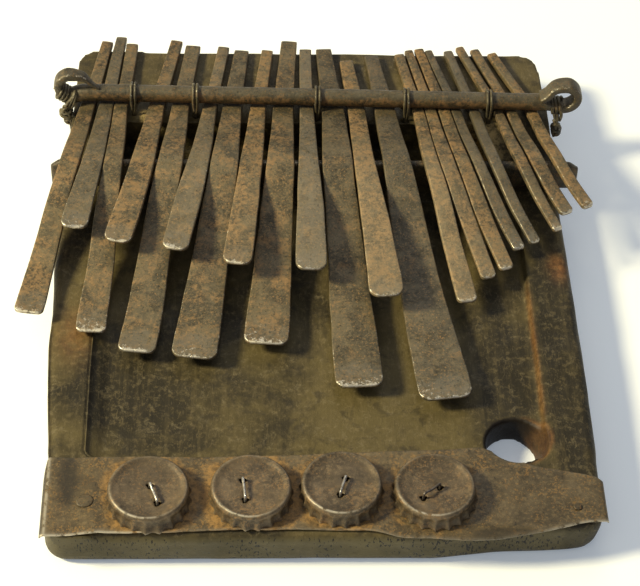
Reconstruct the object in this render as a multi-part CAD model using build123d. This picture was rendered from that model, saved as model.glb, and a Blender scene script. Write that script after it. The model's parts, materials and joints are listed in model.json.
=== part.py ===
from build123d import *
import os
from math import atan2, cos, hypot, pi, sin

# A hand-forged thumb piano: iron keys on a carved hardwood board, with crown-cap buzzers.
# Millimetres. X runs to the player's right, Y away from the player, Z up out of the board.
# The origin is the centre of the board's flat underside.

# ---- board ----
BOARD_LEFT = -92.3          # beside the face plate
BOARD_RIGHT = 91.6
BOARD_FRONT = -115.7
BOARD_REAR = 117.6
# Both sides swell a little in front of the keys' tips, and the front edge is cut back
# towards the right.
BOARD_PLAN = ((BOARD_LEFT, BOARD_FRONT), (36, BOARD_FRONT), (55, -113.4), (BOARD_RIGHT, -111.6),
              (92.5, -40), (91.1, 92), (89.3, 117.1), (-50, BOARD_REAR), (-93, 118.6),
              (-94.9, -35), (BOARD_LEFT, -84))
RAIL_TOP = 15.0             # side rails, bridge seat and front land
RECESS_FLOOR = 11.3         # sunken playing face between the rails
LEDGE_TOP = 20.0            # thick rear part that the keys' rear ends lie on
LEDGE_START = 74.0
LEDGE_SLOPE_START = 50.0
HOLLOW_FLOOR = 6.0          # carved hollow under the keys, between ledge and bridge
CORNER_RADIUS = 7.5
BOTTOM_ROUND = 3.5
TOP_ROUND = 3.0
RECESS_LEFT = -80.3
RECESS_RIGHT = 75.4
RECESS_FRONT = -83.5
RECESS_REAR = 38.0

# ---- little-finger hole ----
HOLE_X = 65.5
HOLE_Y = -74.8
HOLE_R = 10.5

# ---- bridge: an iron strip on edge ----
BRIDGE_Y = 47.4
BRIDGE_THICKNESS = 3.4
BRIDGE_TOP = 26.95
BRIDGE_BOTTOM = 14.4
BRIDGE_LEFT = -99.5
BRIDGE_RIGHT = 98.5
BRIDGE_END_CUT = 3.0

# ---- pressure bar: an iron rod with its flattened ends curled into eyes ----
BAR_R = 3.3
BAR_Z = 27.5
BAR_Y = 82.8                # at X = 0
BAR_ANGLE = -1.27           # the bar lies slightly askew
BAR_LEFT = -88.0
BAR_RIGHT = 90.5
EYE_R = 5.2                 # middle of the curled strip
EYE_THICKNESS = 3.3
EYE_WIDTH = 5.6
EYE_LEFT_X = -93.6
EYE_RIGHT_X = 96.0
EYE_Z = 31.2

# ---- wire ties that pull the pressure bar down ----
TIE_X = (-70.0, -46.2, 1.0, 35.2, 67.2)
TIE_WIRE_R = 0.5
TIE_PITCH = 1.1
TIE_GAP = 0.05              # wire to bar
TIE_HOLE_R = 1.25
TIE_GROOVE_DEPTH = 1.6

# ---- keys ----
PIVOT_FROM_BRIDGE = {"bass": 9.0, "upper": 6.0, "right": 6.0}
PIVOT_GAP = 0.3
SHANK_UNDERSIDE = ((129.0, 20.5), (96.0, 20.5), (82.0, 21.4), (62.0, 24.2), (BRIDGE_Y, 27.0))
SHANK_THICKNESS = {"bass": 2.4, "upper": 2.4, "right": 2.6}
TIP_THICKNESS = {"bass": 1.4, "upper": 1.4, "right": 1.7}
TIP_ROUNDING = {"bass": 0.2, "upper": 0.32, "right": 0.3}
BAR_STATION = 82.5
MID_STATION = 28.0

# Each key: kind, then centre X and width at the rear end, under the bar, on the bridge,
# at MID_STATION (None on a short key) and at the tip, the rear and tip Y, and the tip's underside.
KEYS = {
    "bass_key_1": (
        "bass", (-81.7, 4.4), (-87.7, 5.6), (-91.6, 7.4), (-95.8, 7.8),
        (-103.2, 10.8), 122.0, -22.8, 18.8),
    "upper_key_1": (
        "upper", (-76.2, 4.2), (-80.8, 5.6), (-83.0, 7.6), (-86.4, 9.2),
        (-88.9, 10.4), 125.0, 11.7, 26.4),
    "bass_key_2": (
        "bass", (-72.1, 4.6), (-74.7, 5.2), (-75.4, 6.6), (-77.3, 8.2),
        (-81.0, 11.0), 120.4, -30.4, 17.2),
    "upper_key_2": (
        "upper", (-54.2, 4.6), (-61.0, 6.0), (-64.6, 8.6), (-68.2, 9.6),
        (-73.0, 10.6), 122.5, 5.0, 26.2),
    "bass_key_3": (
        "bass", (-47.8, 5.8), (-51.8, 6.6), (-54.4, 9.2), (-57.4, 10.6),
        (-64.6, 13.8), 119.4, -39.0, 16.4),
    "upper_key_3": (
        "upper", (-35.6, 4.4), (-40.3, 5.2), (-44.0, 7.8), (-47.4, 9.8),
        (-52.3, 9.6), 118.9, 1.4, 26.0),
    "bass_key_4": (
        "bass", (-28.4, 5.6), (-32.1, 7.2), (-34.5, 10.0), (-36.6, 11.6),
        (-44.8, 16.6), 116.9, -41.5, 16.4),
    "upper_key_4": (
        "upper", (-18.3, 4.4), (-22.0, 5.8), (-24.3, 8.2), (-26.3, 9.2),
        (-29.8, 10.8), 117.5, -5.6, 26.0),
    "bass_key_5": (
        "bass", (-9.4, 6.2), (-12.2, 7.8), (-13.3, 9.8), (-15.0, 11.8),
        (-19.5, 16.4), 122.9, -35.1, 16.4),
    "upper_key_5": (
        "upper", (-3.1, 4.6), (-3.1, 5.2), (-3.1, 7.2), (-3.0, 9.4),
        (-3.3, 11.6), 117.9, -8.1, 25.8),
    "bass_key_6": (
        "bass", (3.9, 6.0), (6.9, 8.4), (7.5, 11.4), (8.6, 12.0),
        (12.8, 17.7), 118.5, -54.6, 16.4),
    "upper_key_6": (
        "upper", (13.2, 5.2), (16.1, 6.6), (17.2, 7.6), (19.4, 9.2),
        (23.3, 12.7), 111.1, -20.6, 25.6),
    "bass_key_7": (
        "bass", (22.9, 5.2), (27.2, 7.8), (29.3, 10.2), (31.9, 12.4),
        (42.4, 19.6), 114.5, -60.0, 16.6),
    "right_key_1": (
        "right", (34.1, 3.8), (39.9, 4.3), (42.0, 5.4), (45.9, 6.4),
        (52.6, 7.4), 115.0, -16.5, 18.0),
    "right_key_2": (
        "right", (37.9, 3.2), (44.6, 4.2), (47.8, 5.6), (52.9, 6.1),
        (61.2, 5.6), 117.8, -5.1, 18.4),
    "right_key_3": (
        "right", (42.1, 3.6), (49.7, 4.6), (53.7, 5.1), (59.5, 6.0),
        (68.0, 5.4), 118.8, -1.1, 18.8),
    "right_key_4": (
        "right", (45.9, 3.0), (54.3, 3.8), (59.2, 4.2), (65.8, 5.3),
        (73.3, 4.6), 117.3, 8.0, 19.8),
    "right_key_5": (
        "right", (53.9, 3.4), (61.7, 3.9), (65.8, 4.3), (72.7, 4.5),
        (79.2, 4.0), 117.2, 10.8, 20.4),
    "right_key_6": (
        "right", (58.4, 3.2), (70.8, 3.3), (75.9, 4.4), None,
        (88.1, 3.8), 120.3, 16.2, 21.4),
    "right_key_7": (
        "right", (64.3, 3.6), (75.8, 4.0), (81.5, 5.6), None,
        (92.3, 5.4), 118.7, 24.0, 22.4),
    "right_key_8": (
        "right", (70.8, 3.8), (83.8, 4.2), (89.6, 4.6), None,
        (100.4, 5.0), 116.8, 26.8, 23.0),
}

# ---- tin face plate, its caps, staples and nails ----
PLATE_THICKNESS = 0.6
PLATE_Z = RAIL_TOP
PLATE_TOP = PLATE_Z + PLATE_THICKNESS
PLATE_GAP = 0.3             # between the folded ends and the board's sides
PLATE_LEFT = BOARD_LEFT - PLATE_GAP - PLATE_THICKNESS
PLATE_RIGHT = BOARD_RIGHT + PLATE_GAP + PLATE_THICKNESS
PLATE_OUTLINE = ((PLATE_LEFT, -116.3), (-75, -115), (-40, -114.1), (8, -113.8), (22, -116.2),
                 (50, -116.9), (71, -114.6), (84, -111), (PLATE_RIGHT, -110.4),
                 (PLATE_RIGHT, -92.8), (78, -90.6), (66, -88.4), (53.5, -79.4),
                 (20, -81.2), (-20, -83.6), (PLATE_LEFT, -83.8))
PLATE_HOLE_MARGIN = 0.9
PLATE_FOLD_LEFT = 3.0
PLATE_FOLD_RIGHT = 6.0
CAP_LIFT = 0.1
CAP_HEIGHT = 5.7
CAP_SKIN = 0.5
CAP_FLUTES = 21
CAP_FLUTE_R = 1.0
CAP_SKIRT_R = 14.6
CAP_CENTRES = ((-58.2, -100.6), (-24.7, -100.0), (5.0, -98.6), (35.6, -99.6))
# each staple: middle and angle of its crown in plan, and its span
STAPLES = ((-56.4, -103.0, -69.0, 7.6), (-27.0, -101.2, -84.0, 8.0),
           (5.4, -99.9, 73.0, 7.0), (34.4, -101.9, 38.0, 7.2))
STAPLE_WIRE_R = 0.45
STAPLE_CROWN_Z = 22.3
STAPLE_DEPTH = 8.0
STAPLE_HOLE_R = 1.3
NAILS = ((-79.0, -102.0, 2.75, 1.1), (82.7, -104.6, 1.35, 0.7))   # X, Y, head and shank radius
NAIL_HEAD = 0.8
NAIL_DEPTH = 9.0
FIT = 0.02                  # radial play round staples and nails in the wood

# ---- wire bindings on the two eyes ----
BINDING_R = 0.7
BINDING_LOOP_R = 4.35
BINDING_PITCH = 1.3


def board_blank():
    """Plan outline times the stepped side profile, with its outer edges rounded."""
    plan = make_face(Polyline(*BOARD_PLAN, close=True))
    plan = fillet(plan.vertices(), CORNER_RADIUS)
    beyond = 130
    side = make_face(Polyline(
        (-beyond, 0), (beyond, 0), (beyond, LEDGE_TOP), (LEDGE_START, LEDGE_TOP),
        (LEDGE_SLOPE_START, RAIL_TOP), (-beyond, RAIL_TOP), close=True))
    blank = extrude(plan, LEDGE_TOP) & extrude(Plane.YZ * side, beyond, both=True)
    bottom = blank.faces().sort_by(Axis.Z)[0]
    blank = fillet(bottom.edges(), BOTTOM_ROUND)
    front_land = blank.faces().filter_by(Axis.Z).sort_by(Axis.Z)[1]
    front_edges = front_land.edges().filter_by_position(Axis.Y, BOARD_FRONT - 1, -108)
    return fillet(front_edges, TOP_ROUND)


def pocket(corners, radius, floor):
    """A rounded pocket from floor upwards."""
    face = make_face(Polyline(*corners, close=True))
    face = fillet(face.vertices(), radius)
    return Pos(0, 0, floor) * extrude(face, LEDGE_TOP + 5 - floor)


def tie_legs(x):
    """Y of the front and rear legs of a tie at this X."""
    reach = BAR_R + TIE_GAP + TIE_WIRE_R
    y = bar_y(x)
    return y - reach, y + reach


def soundboard():
    body = board_blank()
    body -= pocket(((RECESS_LEFT, RECESS_FRONT), (RECESS_RIGHT, RECESS_FRONT),
                    (RECESS_RIGHT, RECESS_REAR), (RECESS_LEFT, RECESS_REAR)), 3, RECESS_FLOOR)
    # the carved hollow, wider under the bridge than at the ledge
    body -= pocket(((-77, 51.5), (72, 51.5), (63, 76), (-75, 76)), 4, HOLLOW_FLOOR)
    body -= Pos(HOLE_X, HOLE_Y, 0) * Cylinder(HOLE_R, 60)
    seat = BRIDGE_THICKNESS + 2 * FIT
    body -= Pos(0, BRIDGE_Y, BRIDGE_BOTTOM + 5) * Box(2 * (BRIDGE_RIGHT - BRIDGE_LEFT), seat, 10)
    for x in TIE_X:
        front, rear = tie_legs(x)
        for y in (front, rear):
            body -= Pos(x, y, LEDGE_TOP / 2) * Cylinder(TIE_HOLE_R, LEDGE_TOP + 10)
        body -= Pos(x, bar_y(x), 0) * Box(2 * TIE_HOLE_R, rear - front, 2 * TIE_GROOVE_DEPTH)
    for x, y, head_r, shank_r in NAILS:
        body -= blind_hole(x, y, shank_r + FIT, NAIL_DEPTH)
    for x, y in staple_feet():
        body -= blind_hole(x, y, STAPLE_WIRE_R + FIT, STAPLE_DEPTH)
    return body


def blind_hole(x, y, radius, depth):
    return Pos(x, y, RAIL_TOP - depth / 2 + 1) * Cylinder(radius, depth + 2)


def bridge():
    length = BRIDGE_RIGHT - BRIDGE_LEFT
    height = BRIDGE_TOP - BRIDGE_BOTTOM
    strip = Box(length, BRIDGE_THICKNESS, height)
    strip = fillet(strip.edges().filter_by(Axis.X).sort_by(Axis.Z)[-2:], BRIDGE_THICKNESS * 0.42)
    for side in (-1, 1):
        end_cut = Rot(0, side * 25, 0) * Box(8, 2 * BRIDGE_THICKNESS, 40)
        reach = length / 2 + BRIDGE_END_CUT
        strip -= Pos(side * reach, 0, -BRIDGE_END_CUT) * end_cut
    middle = (BRIDGE_LEFT + BRIDGE_RIGHT) / 2
    return Pos(middle, BRIDGE_Y, (BRIDGE_TOP + BRIDGE_BOTTOM) / 2) * strip


def bar_y(x):
    return BAR_Y + x * sin(BAR_ANGLE * pi / 180)


def eye_strip(side, centre_x):
    """A flat strip that leaves the rod, curls up round the eye and comes back down on the rod."""
    low = EYE_Z - EYE_R
    high = EYE_Z + EYE_R
    outer = centre_x + side * EYE_R
    points = ((centre_x - side * 9, low + 0.6), (centre_x - side * 2, low), (outer, low),
              (outer, high), (centre_x - side * 3, high), (centre_x - side * 8.2, EYE_Z + 0.6))
    path = FilletPolyline(*[(x, 0, z) for x, z in points],
                          radius=[4, EYE_R - 0.2, EYE_R - 0.2, 4])
    start = Plane(origin=path @ 0, x_dir=(0, 1, 0), z_dir=path % 0)
    return sweep(start * Rectangle(EYE_WIDTH, EYE_THICKNESS), path=path)


def pressure_bar():
    length = BAR_RIGHT - BAR_LEFT
    rod = Pos((BAR_LEFT + BAR_RIGHT) / 2, 0, BAR_Z) * Rot(0, 90, 0) * Cylinder(BAR_R, length)
    rod = chamfer(rod.edges(), 1.2)
    bar = rod + eye_strip(-1, EYE_LEFT_X) + eye_strip(1, EYE_RIGHT_X)
    return on_bar(bar)


def on_bar(shape):
    """Place a shape drawn round a bar along X onto the askew bar."""
    return Pos(0, BAR_Y, 0) * Rot(0, 0, BAR_ANGLE) * shape


def tie(x):
    """Two turns of wire over the bar, down through the board and across its back."""
    front, rear = tie_legs(x)
    top = BAR_Z + BAR_R + TIE_GAP + TIE_WIRE_R
    foot = TIE_GROOVE_DEPTH - TIE_WIRE_R
    turn_r = (rear - front) / 2 - 0.05
    turns = []
    for side in (-1, 1):
        turn_x = x + side * TIE_PITCH / 2
        path = FilletPolyline(
            (turn_x, front + 3.4, foot), (turn_x, front, foot), (turn_x, front, top),
            (turn_x, rear, top), (turn_x, rear, foot), (turn_x, rear - 3.4, foot),
            radius=[1.1, turn_r, turn_r, 1.1])
        start = Plane(origin=path @ 0, z_dir=path % 0)
        turns.append(sweep(start * Circle(TIE_WIRE_R), path=path))
    return Compound(children=turns)


def wraps(count, centre, lean):
    """Turns of wire laid tight round an axis that leans from X by this angle."""
    profile = Sketch()
    for turn in range(count):
        along = (turn - (count - 1) / 2) * BINDING_PITCH
        profile += Pos(along, BINDING_LOOP_R) * Circle(BINDING_R)
    return Pos(*centre) * Rot(0, -lean, 0) * revolve(profile, Axis.X)


def knot(width, height):
    """A blunt knot of twisted wire."""
    return chamfer(Box(width, 2.8, height).edges(), 0.8)


def left_binding():
    """Two turns of wire through the left eye, with a knot and a short tail beside the board."""
    turns = wraps(2, (EYE_LEFT_X - 3.2, 0, EYE_Z - 4.4), 124)
    stem = Pos(-97.2, -4.6, 24) * Cylinder(1.1, 8)
    tail = Pos(-95.3, -4.6, 14.5) * Cylinder(0.9, 8)
    return on_bar(turns + stem + Pos(-96.0, -4.6, 20.2) * knot(5.2, 6.6) + tail)


def right_binding():
    """Three turns of wire round the neck of the right eye, with a knot hanging below."""
    turns = wraps(3, (93.4, 0, EYE_Z - EYE_R + 0.1), 0)
    stem = Pos(93.8, -4.1, 22) * Cylinder(1.0, 8)
    return on_bar(turns + stem + Pos(93.9, -4.1, 17.6) * knot(4.2, 6))


def stations(key):
    """(x, y, width) down one key, from its rear end to its tip."""
    kind, rear, at_bar, on_bridge, mid, tip, rear_y, tip_y, tip_z = key
    places = [(rear, rear_y), (at_bar, BAR_STATION), (on_bridge, BRIDGE_Y)]
    if mid:
        places.append((mid, MID_STATION))
    places.append((tip, tip_y))
    return [(x, y, width) for (x, width), y in places]


def key_outline(key):
    points = stations(key)
    left = [(x - width / 2, y) for x, y, width in points[:-1]]
    right = [(x + width / 2, y) for x, y, width in points[:-1]]
    x, y, width = points[-1]
    heading = atan2(y - points[-2][1], x - points[-2][0])
    across = (sin(heading) * width / 2, -cos(heading) * width / 2)
    left.append((x + across[0], y + across[1]))
    right.append((x - across[0], y - across[1]))
    face = make_face(Polyline(*left, *reversed(right), close=True))
    tip_corners = face.vertices().sort_by(Axis.Y)[:2]
    return fillet(tip_corners, TIP_ROUNDING[key[0]] * width)


def tongue_underside(kind, tip_y, tip_z):
    """(y, z) of the free end's underside, in front of the bridge."""
    if kind == "bass":
        # bent down over the bridge, lowest past its middle, the tip turned up a little
        fall = ((36.0, 25.2), (24.0, 21.9), (5.0, 18.0), (-14.0, 16.0))
        raise_by = tip_z - 16.4
        points = [(y, z + raise_by * (BRIDGE_Y - y) / (BRIDGE_Y + 14)) for y, z in fall]
        return points + [(tip_y, tip_z)]
    if kind == "upper":
        return [(36.0, 27.0), ((36.0 + tip_y) / 2, (27.2 + tip_z) / 2 + 0.1), (tip_y, tip_z)]
    middle = (BRIDGE_Y + tip_y) / 2
    return [(middle, tip_z + (27.0 - tip_z) * 0.42), (tip_y, tip_z)]


def key_side(key):
    """The band between a key's underside and its top, seen from the side."""
    kind, tip_y, tip_z = key[0], key[-2], key[-1]
    under = list(SHANK_UNDERSIDE) + tongue_underside(kind, tip_y, tip_z)
    slope = (under[-1][1] - under[-2][1]) / (under[-1][0] - under[-2][0])
    under.append((tip_y - 6, tip_z - 6 * slope))
    top = []
    for y, z in under:
        along = min(max((BRIDGE_Y - y) / (BRIDGE_Y - tip_y), 0), 1)
        thick = SHANK_THICKNESS[kind] + along * (TIP_THICKNESS[kind] - SHANK_THICKNESS[kind])
        top.append((y, z + thick))
    bottom_edge = Spline(*under)
    top_edge = Spline(*top)
    ends = Line(under[0], top[0]) + Line(under[-1], top[-1])
    return make_face(bottom_edge + top_edge + ends)


def key_hinge(key):
    """The bending point in front of the bridge: its position and the key's heading there."""
    y = BRIDGE_Y - PIVOT_FROM_BRIDGE[key[0]]
    points = stations(key)
    (x0, y0, w0), (x1, y1, w1) = points[2], points[3]
    x = x0 + (x1 - x0) * (y - y0) / (y1 - y0)
    run = hypot(x1 - x0, y1 - y0)
    return (x, y), ((x1 - x0) / run, (y1 - y0) / run)


def forge_key(key):
    """A whole key, cut at its bending point into the clamped shank and the free tongue."""
    band = extrude(Plane.YZ * key_side(key), 130, both=True)
    whole = extrude(key_outline(key), 45) & band
    (x, y), (dx, dy) = key_hinge(key)
    half = PIVOT_GAP / 2
    shank = split(whole, Plane(origin=(x - dx * half, y - dy * half, 0), z_dir=(-dx, -dy, 0)))
    tongue = split(whole, Plane(origin=(x + dx * half, y + dy * half, 0), z_dir=(dx, dy, 0)))
    return shank, tongue


def face_plate():
    sheet = extrude(make_face(Polyline(*PLATE_OUTLINE, close=True)), PLATE_THICKNESS)
    sheet = Pos(0, 0, PLATE_Z) * sheet
    sheet -= Pos(HOLE_X, HOLE_Y, PLATE_Z) * Cylinder(HOLE_R + PLATE_HOLE_MARGIN, 5)
    # the ends are folded down over the board's two sides
    for x, fold, y0, y1 in ((PLATE_LEFT, PLATE_FOLD_LEFT, -108, -84.5),
                            (PLATE_RIGHT, PLATE_FOLD_RIGHT, -106, -93)):
        inward = PLATE_THICKNESS / 2 if x < 0 else -PLATE_THICKNESS / 2
        height = fold + PLATE_THICKNESS
        flange = Box(PLATE_THICKNESS, y1 - y0, height)
        sheet += Pos(x + inward, (y0 + y1) / 2, PLATE_TOP - height / 2) * flange
    for x, y in staple_feet():
        sheet -= Pos(x, y, PLATE_Z) * Cylinder(STAPLE_WIRE_R + FIT, 5)
    for x, y, head_r, shank_r in NAILS:
        sheet -= Pos(x, y, PLATE_Z) * Cylinder(shank_r + FIT, 5)
    return sheet


def staple_feet():
    feet = []
    for x, y, angle, span in STAPLES:
        a = angle * pi / 180
        for side in (-1, 1):
            feet.append((x + side * span / 2 * cos(a), y + side * span / 2 * sin(a)))
    return feet


def crown_cap(index):
    """A crimped cap lying skirt down, its dished top pierced for the staple."""
    x, y = CAP_CENTRES[index]
    dish = CAP_HEIGHT - 0.6
    outer = ((0, dish), (10.6, dish), (12.2, CAP_HEIGHT), (13.2, CAP_HEIGHT - 0.1),
             (13.9, CAP_HEIGHT - 0.9), (14.1, 2.6), (CAP_SKIRT_R, 0))
    inner = ((CAP_SKIRT_R - CAP_SKIN, 0), (14.1 - CAP_SKIN, 2.5), (13.4, CAP_HEIGHT - 1.1),
             (12.9, CAP_HEIGHT - 0.6), (12.3, CAP_HEIGHT - 0.55), (10.8, dish - CAP_SKIN),
             (0, dish - CAP_SKIN))
    shell = revolve(Plane.XZ * make_face(Polyline(*outer, *inner, close=True)), Axis.Z)
    for flute in range(CAP_FLUTES):
        groove = Pos(CAP_SKIRT_R + 0.55, 0, 0) * Rot(0, -12, 0) * Cylinder(CAP_FLUTE_R, 6)
        shell -= Rot(0, 0, flute * 360 / CAP_FLUTES) * groove
    cap = Pos(x, y, PLATE_TOP + CAP_LIFT) * shell
    for foot_x, foot_y in staple_feet()[2 * index:2 * index + 2]:
        cap -= Pos(foot_x, foot_y, PLATE_TOP + CAP_HEIGHT) * Cylinder(STAPLE_HOLE_R, 6)
    return cap


def staple(index):
    """A wire crown over the cap with two legs driven into the wood."""
    (x0, y0), (x1, y1) = staple_feet()[2 * index:2 * index + 2]
    foot = RAIL_TOP - STAPLE_DEPTH + 0.2
    path = FilletPolyline((x0, y0, foot), (x0, y0, STAPLE_CROWN_Z), (x1, y1, STAPLE_CROWN_Z),
                          (x1, y1, foot), radius=1.0)
    return sweep(Plane(origin=path @ 0, z_dir=path % 0) * Circle(STAPLE_WIRE_R), path=path)


def nail(x, y, head_r, shank_r):
    head = Pos(x, y, PLATE_TOP + NAIL_HEAD / 2) * Cylinder(head_r, NAIL_HEAD)
    head = fillet(head.edges().sort_by(Axis.Z)[-1:], NAIL_HEAD * 0.4)
    length = NAIL_DEPTH - 0.3 + PLATE_THICKNESS
    return head + Pos(x, y, PLATE_TOP - length / 2) * Cylinder(shank_r, length)


def build_nodes():
    nodes = {"soundboard": soundboard(), "bridge": bridge(), "pressure_bar": pressure_bar()}
    for name, key in KEYS.items():
        nodes[name + "_shank"], nodes[name] = forge_key(key)
    for number, x in enumerate(TIE_X, 1):
        nodes[f"tie_wire_{number}"] = tie(x)
    nodes["left_eye_binding"] = left_binding()
    nodes["right_eye_binding"] = right_binding()
    nodes["face_plate"] = face_plate()
    for index in range(len(CAP_CENTRES)):
        nodes[f"crown_cap_{index + 1}"] = crown_cap(index)
    nodes["cap_staples"] = Compound(children=[staple(index) for index in range(len(STAPLES))])
    nodes["plate_nails"] = Compound(children=[nail(*spec) for spec in NAILS])
    return nodes


if __name__ == "__main__":
    os.makedirs("parts", exist_ok=True)
    for node, shape in build_nodes().items():
        export_step(shape, f"parts/{node}.step")
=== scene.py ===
import json
import math
import bpy
import numpy as np
from mathutils import Matrix, Vector


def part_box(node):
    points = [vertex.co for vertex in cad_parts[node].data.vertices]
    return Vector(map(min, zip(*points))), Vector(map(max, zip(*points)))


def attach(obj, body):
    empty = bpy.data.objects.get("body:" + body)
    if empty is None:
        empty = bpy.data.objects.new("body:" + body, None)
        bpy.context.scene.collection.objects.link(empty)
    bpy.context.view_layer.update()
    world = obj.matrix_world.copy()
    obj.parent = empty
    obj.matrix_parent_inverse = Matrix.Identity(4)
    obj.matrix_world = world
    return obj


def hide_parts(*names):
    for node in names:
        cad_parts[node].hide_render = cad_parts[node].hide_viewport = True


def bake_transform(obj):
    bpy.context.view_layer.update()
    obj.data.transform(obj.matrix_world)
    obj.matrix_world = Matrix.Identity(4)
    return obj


# A hand-forged thumb piano. Metres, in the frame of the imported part: X to the player's right,
# Y away from the player, Z up out of the board.

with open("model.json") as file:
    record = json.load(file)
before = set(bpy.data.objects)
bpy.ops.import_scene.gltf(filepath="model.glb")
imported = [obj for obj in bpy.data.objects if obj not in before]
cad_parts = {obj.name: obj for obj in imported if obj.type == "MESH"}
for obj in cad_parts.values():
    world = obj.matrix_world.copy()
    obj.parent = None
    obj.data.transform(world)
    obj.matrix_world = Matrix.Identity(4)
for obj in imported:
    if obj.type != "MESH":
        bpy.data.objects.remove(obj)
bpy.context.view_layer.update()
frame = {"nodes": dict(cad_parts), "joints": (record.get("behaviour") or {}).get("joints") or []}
MM = 0.001


# ---------------------------------------------------------------- camera, light and floor

CAMERA_TARGET = Vector((0.1, -8.7, 15.0)) * MM
CAMERA_DISTANCE = 719.9 * MM
CAMERA_PITCH = math.radians(47.23)
CAMERA_YAW = math.radians(3.18)
CAMERA_ROLL = math.radians(2.52)
CAMERA_LENS = 112.5


def make_camera():
    """The camera, rolled a little, looks down at the board from the player's side."""
    forward = Vector((math.sin(CAMERA_YAW) * math.cos(CAMERA_PITCH),
                      math.cos(CAMERA_YAW) * math.cos(CAMERA_PITCH),
                      -math.sin(CAMERA_PITCH)))
    level = Vector((math.cos(CAMERA_YAW), -math.sin(CAMERA_YAW), 0))
    above = level.cross(forward)
    right = math.cos(CAMERA_ROLL) * level + math.sin(CAMERA_ROLL) * above
    up = right.cross(forward)
    data = bpy.data.cameras.new("camera")
    data.lens = CAMERA_LENS
    data.clip_start = 0.01
    camera = bpy.data.objects.new("camera", data)
    camera.matrix_world = Matrix((right, up, -forward)).transposed().to_4x4()
    camera.location = CAMERA_TARGET - CAMERA_DISTANCE * forward
    bpy.context.scene.collection.objects.link(camera)
    bpy.context.scene.camera = camera


def add_lamp(name, azimuth, elevation, distance, size, power, colour):
    """An area light aimed at the object. Azimuth 0 is in front, 90 on the right."""
    a, e = math.radians(azimuth), math.radians(elevation)
    away = Vector((math.sin(a) * math.cos(e), -math.cos(a) * math.cos(e), math.sin(e)))
    data = bpy.data.lights.new(name, "AREA")
    data.shape = "DISK"
    data.size = size
    data.energy = power
    data.color = colour
    lamp = bpy.data.objects.new(name, data)
    lamp.location = away * distance
    lamp.rotation_mode = "QUATERNION"
    lamp.rotation_quaternion = away.to_track_quat("Z", "Y")
    bpy.context.scene.collection.objects.link(lamp)


SKY_COLOUR, SKY_STRENGTH = (0.8, 0.88, 1.06, 1), 0.31
# name, azimuth, elevation, distance, size, power and colour
LAMPS = (("key_light", -86, 37, 1.5, 0.3, 36.5, (1.0, 0.92, 0.62)),
         ("front_fill", -25, 58, 1.6, 0.9, 1.0, (1.0, 0.95, 0.78)),
         ("rear_sheen", 170, 48, 1.4, 0.8, 2.5, (1.0, 0.97, 0.86)))
FLOOR_REACH = 6.0
FLOOR_GLOW, FLOOR_GLOW_STRENGTH = (0.72, 0.84, 1.0, 1), 0.23


def make_stage():
    """Sky, lamps and the pale floor the object lies on."""
    world = bpy.data.worlds.new("studio")
    world.use_nodes = True
    background = world.node_tree.nodes["Background"]
    background.inputs["Color"].default_value = SKY_COLOUR
    background.inputs["Strength"].default_value = SKY_STRENGTH
    bpy.context.scene.world = world
    for lamp in LAMPS:
        add_lamp(*lamp)
    mesh = bpy.data.meshes.new("floor")
    corners = [(x * FLOOR_REACH, y * FLOOR_REACH, 0) for x, y in ((-1, -1), (1, -1), (1, 1), (-1, 1))]
    mesh.from_pydata(corners, [], [(0, 1, 2, 3)])
    floor = bpy.data.objects.new("floor", mesh)
    bpy.context.scene.collection.objects.link(floor)
    paper = Shader("floor_paper", roughness=0.85)
    paper.finish(paper.mix(paper.noise(60, detail=3), (0.9, 0.885, 0.8), (0.87, 0.855, 0.775)))
    paper.shader.inputs["Emission Color"].default_value = FLOOR_GLOW
    paper.shader.inputs["Emission Strength"].default_value = FLOOR_GLOW_STRENGTH
    mesh.materials.append(paper.material)
    bpy.context.scene.view_settings.view_transform = "Standard"


# ---------------------------------------------------------------- noise and small sums

LATTICE = 64
LATTICE_VALUES = np.random.default_rng(11).random((LATTICE, LATTICE, LATTICE)) * 2 - 1


def noise(points, size, seed=0):
    """Smooth noise from -1 to 1 at points in metres, with lumps of this size in millimetres."""
    p = np.asarray(points, float) / (np.asarray(size, float) * MM) + 17.31 * seed
    cell = np.floor(p).astype(int)
    part = p - cell
    part = part * part * (3 - 2 * part)
    total = np.zeros(len(p))
    for corner in range(8):
        step = np.array([corner & 1, corner >> 1 & 1, corner >> 2 & 1])
        index = (cell + step) % LATTICE
        share = np.prod(np.where(step == 1, part, 1 - part), axis=1)
        total += share * LATTICE_VALUES[index[:, 0], index[:, 1], index[:, 2]]
    return total


def rough(points, size, octaves=3, seed=0):
    """Noise with finer lumps laid over it, each half the size and half the height."""
    total = np.zeros(len(points))
    for octave in range(octaves):
        total += noise(points, np.asarray(size) / 2 ** octave, seed + octave) / 2 ** octave
    return total


def ramp(value, low, high):
    """0 below low, 1 above high, smooth between. Low may be the larger one."""
    t = np.clip((value - low) / (high - low), 0, 1)
    return t * t * (3 - 2 * t)


def hump(value, centre, spread):
    """1 at the centre, falling away evenly on both sides: a third is left at one spread."""
    return np.exp(-((value - centre) / spread) ** 2)


def squared(value, power):
    """A cosine or sine with its round drawn out towards a square."""
    return np.sign(value) * np.abs(value) ** power


def full_turn(count):
    """This many angles round a circle."""
    return np.arange(count) * 2 * math.pi / count


def blurred(values, spread):
    """Values along a line, smoothed over about this many samples, with the ends carried on."""
    reach = int(3 * spread) + 1
    weights = np.exp(-0.5 * (np.arange(-reach, reach + 1) / spread) ** 2)
    before = values[0] - (values[1] - values[0]) * np.arange(reach, 0, -1)
    after = values[-1] + (values[-1] - values[-2]) * np.arange(1, reach + 1)
    return np.convolve(np.concatenate([before, values, after]), weights / weights.sum(), "valid")


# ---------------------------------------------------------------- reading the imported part

def box_mm(node):
    """The lowest and highest corners of a CAD node, in millimetres."""
    return [np.array(corner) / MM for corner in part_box(node)]


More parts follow.
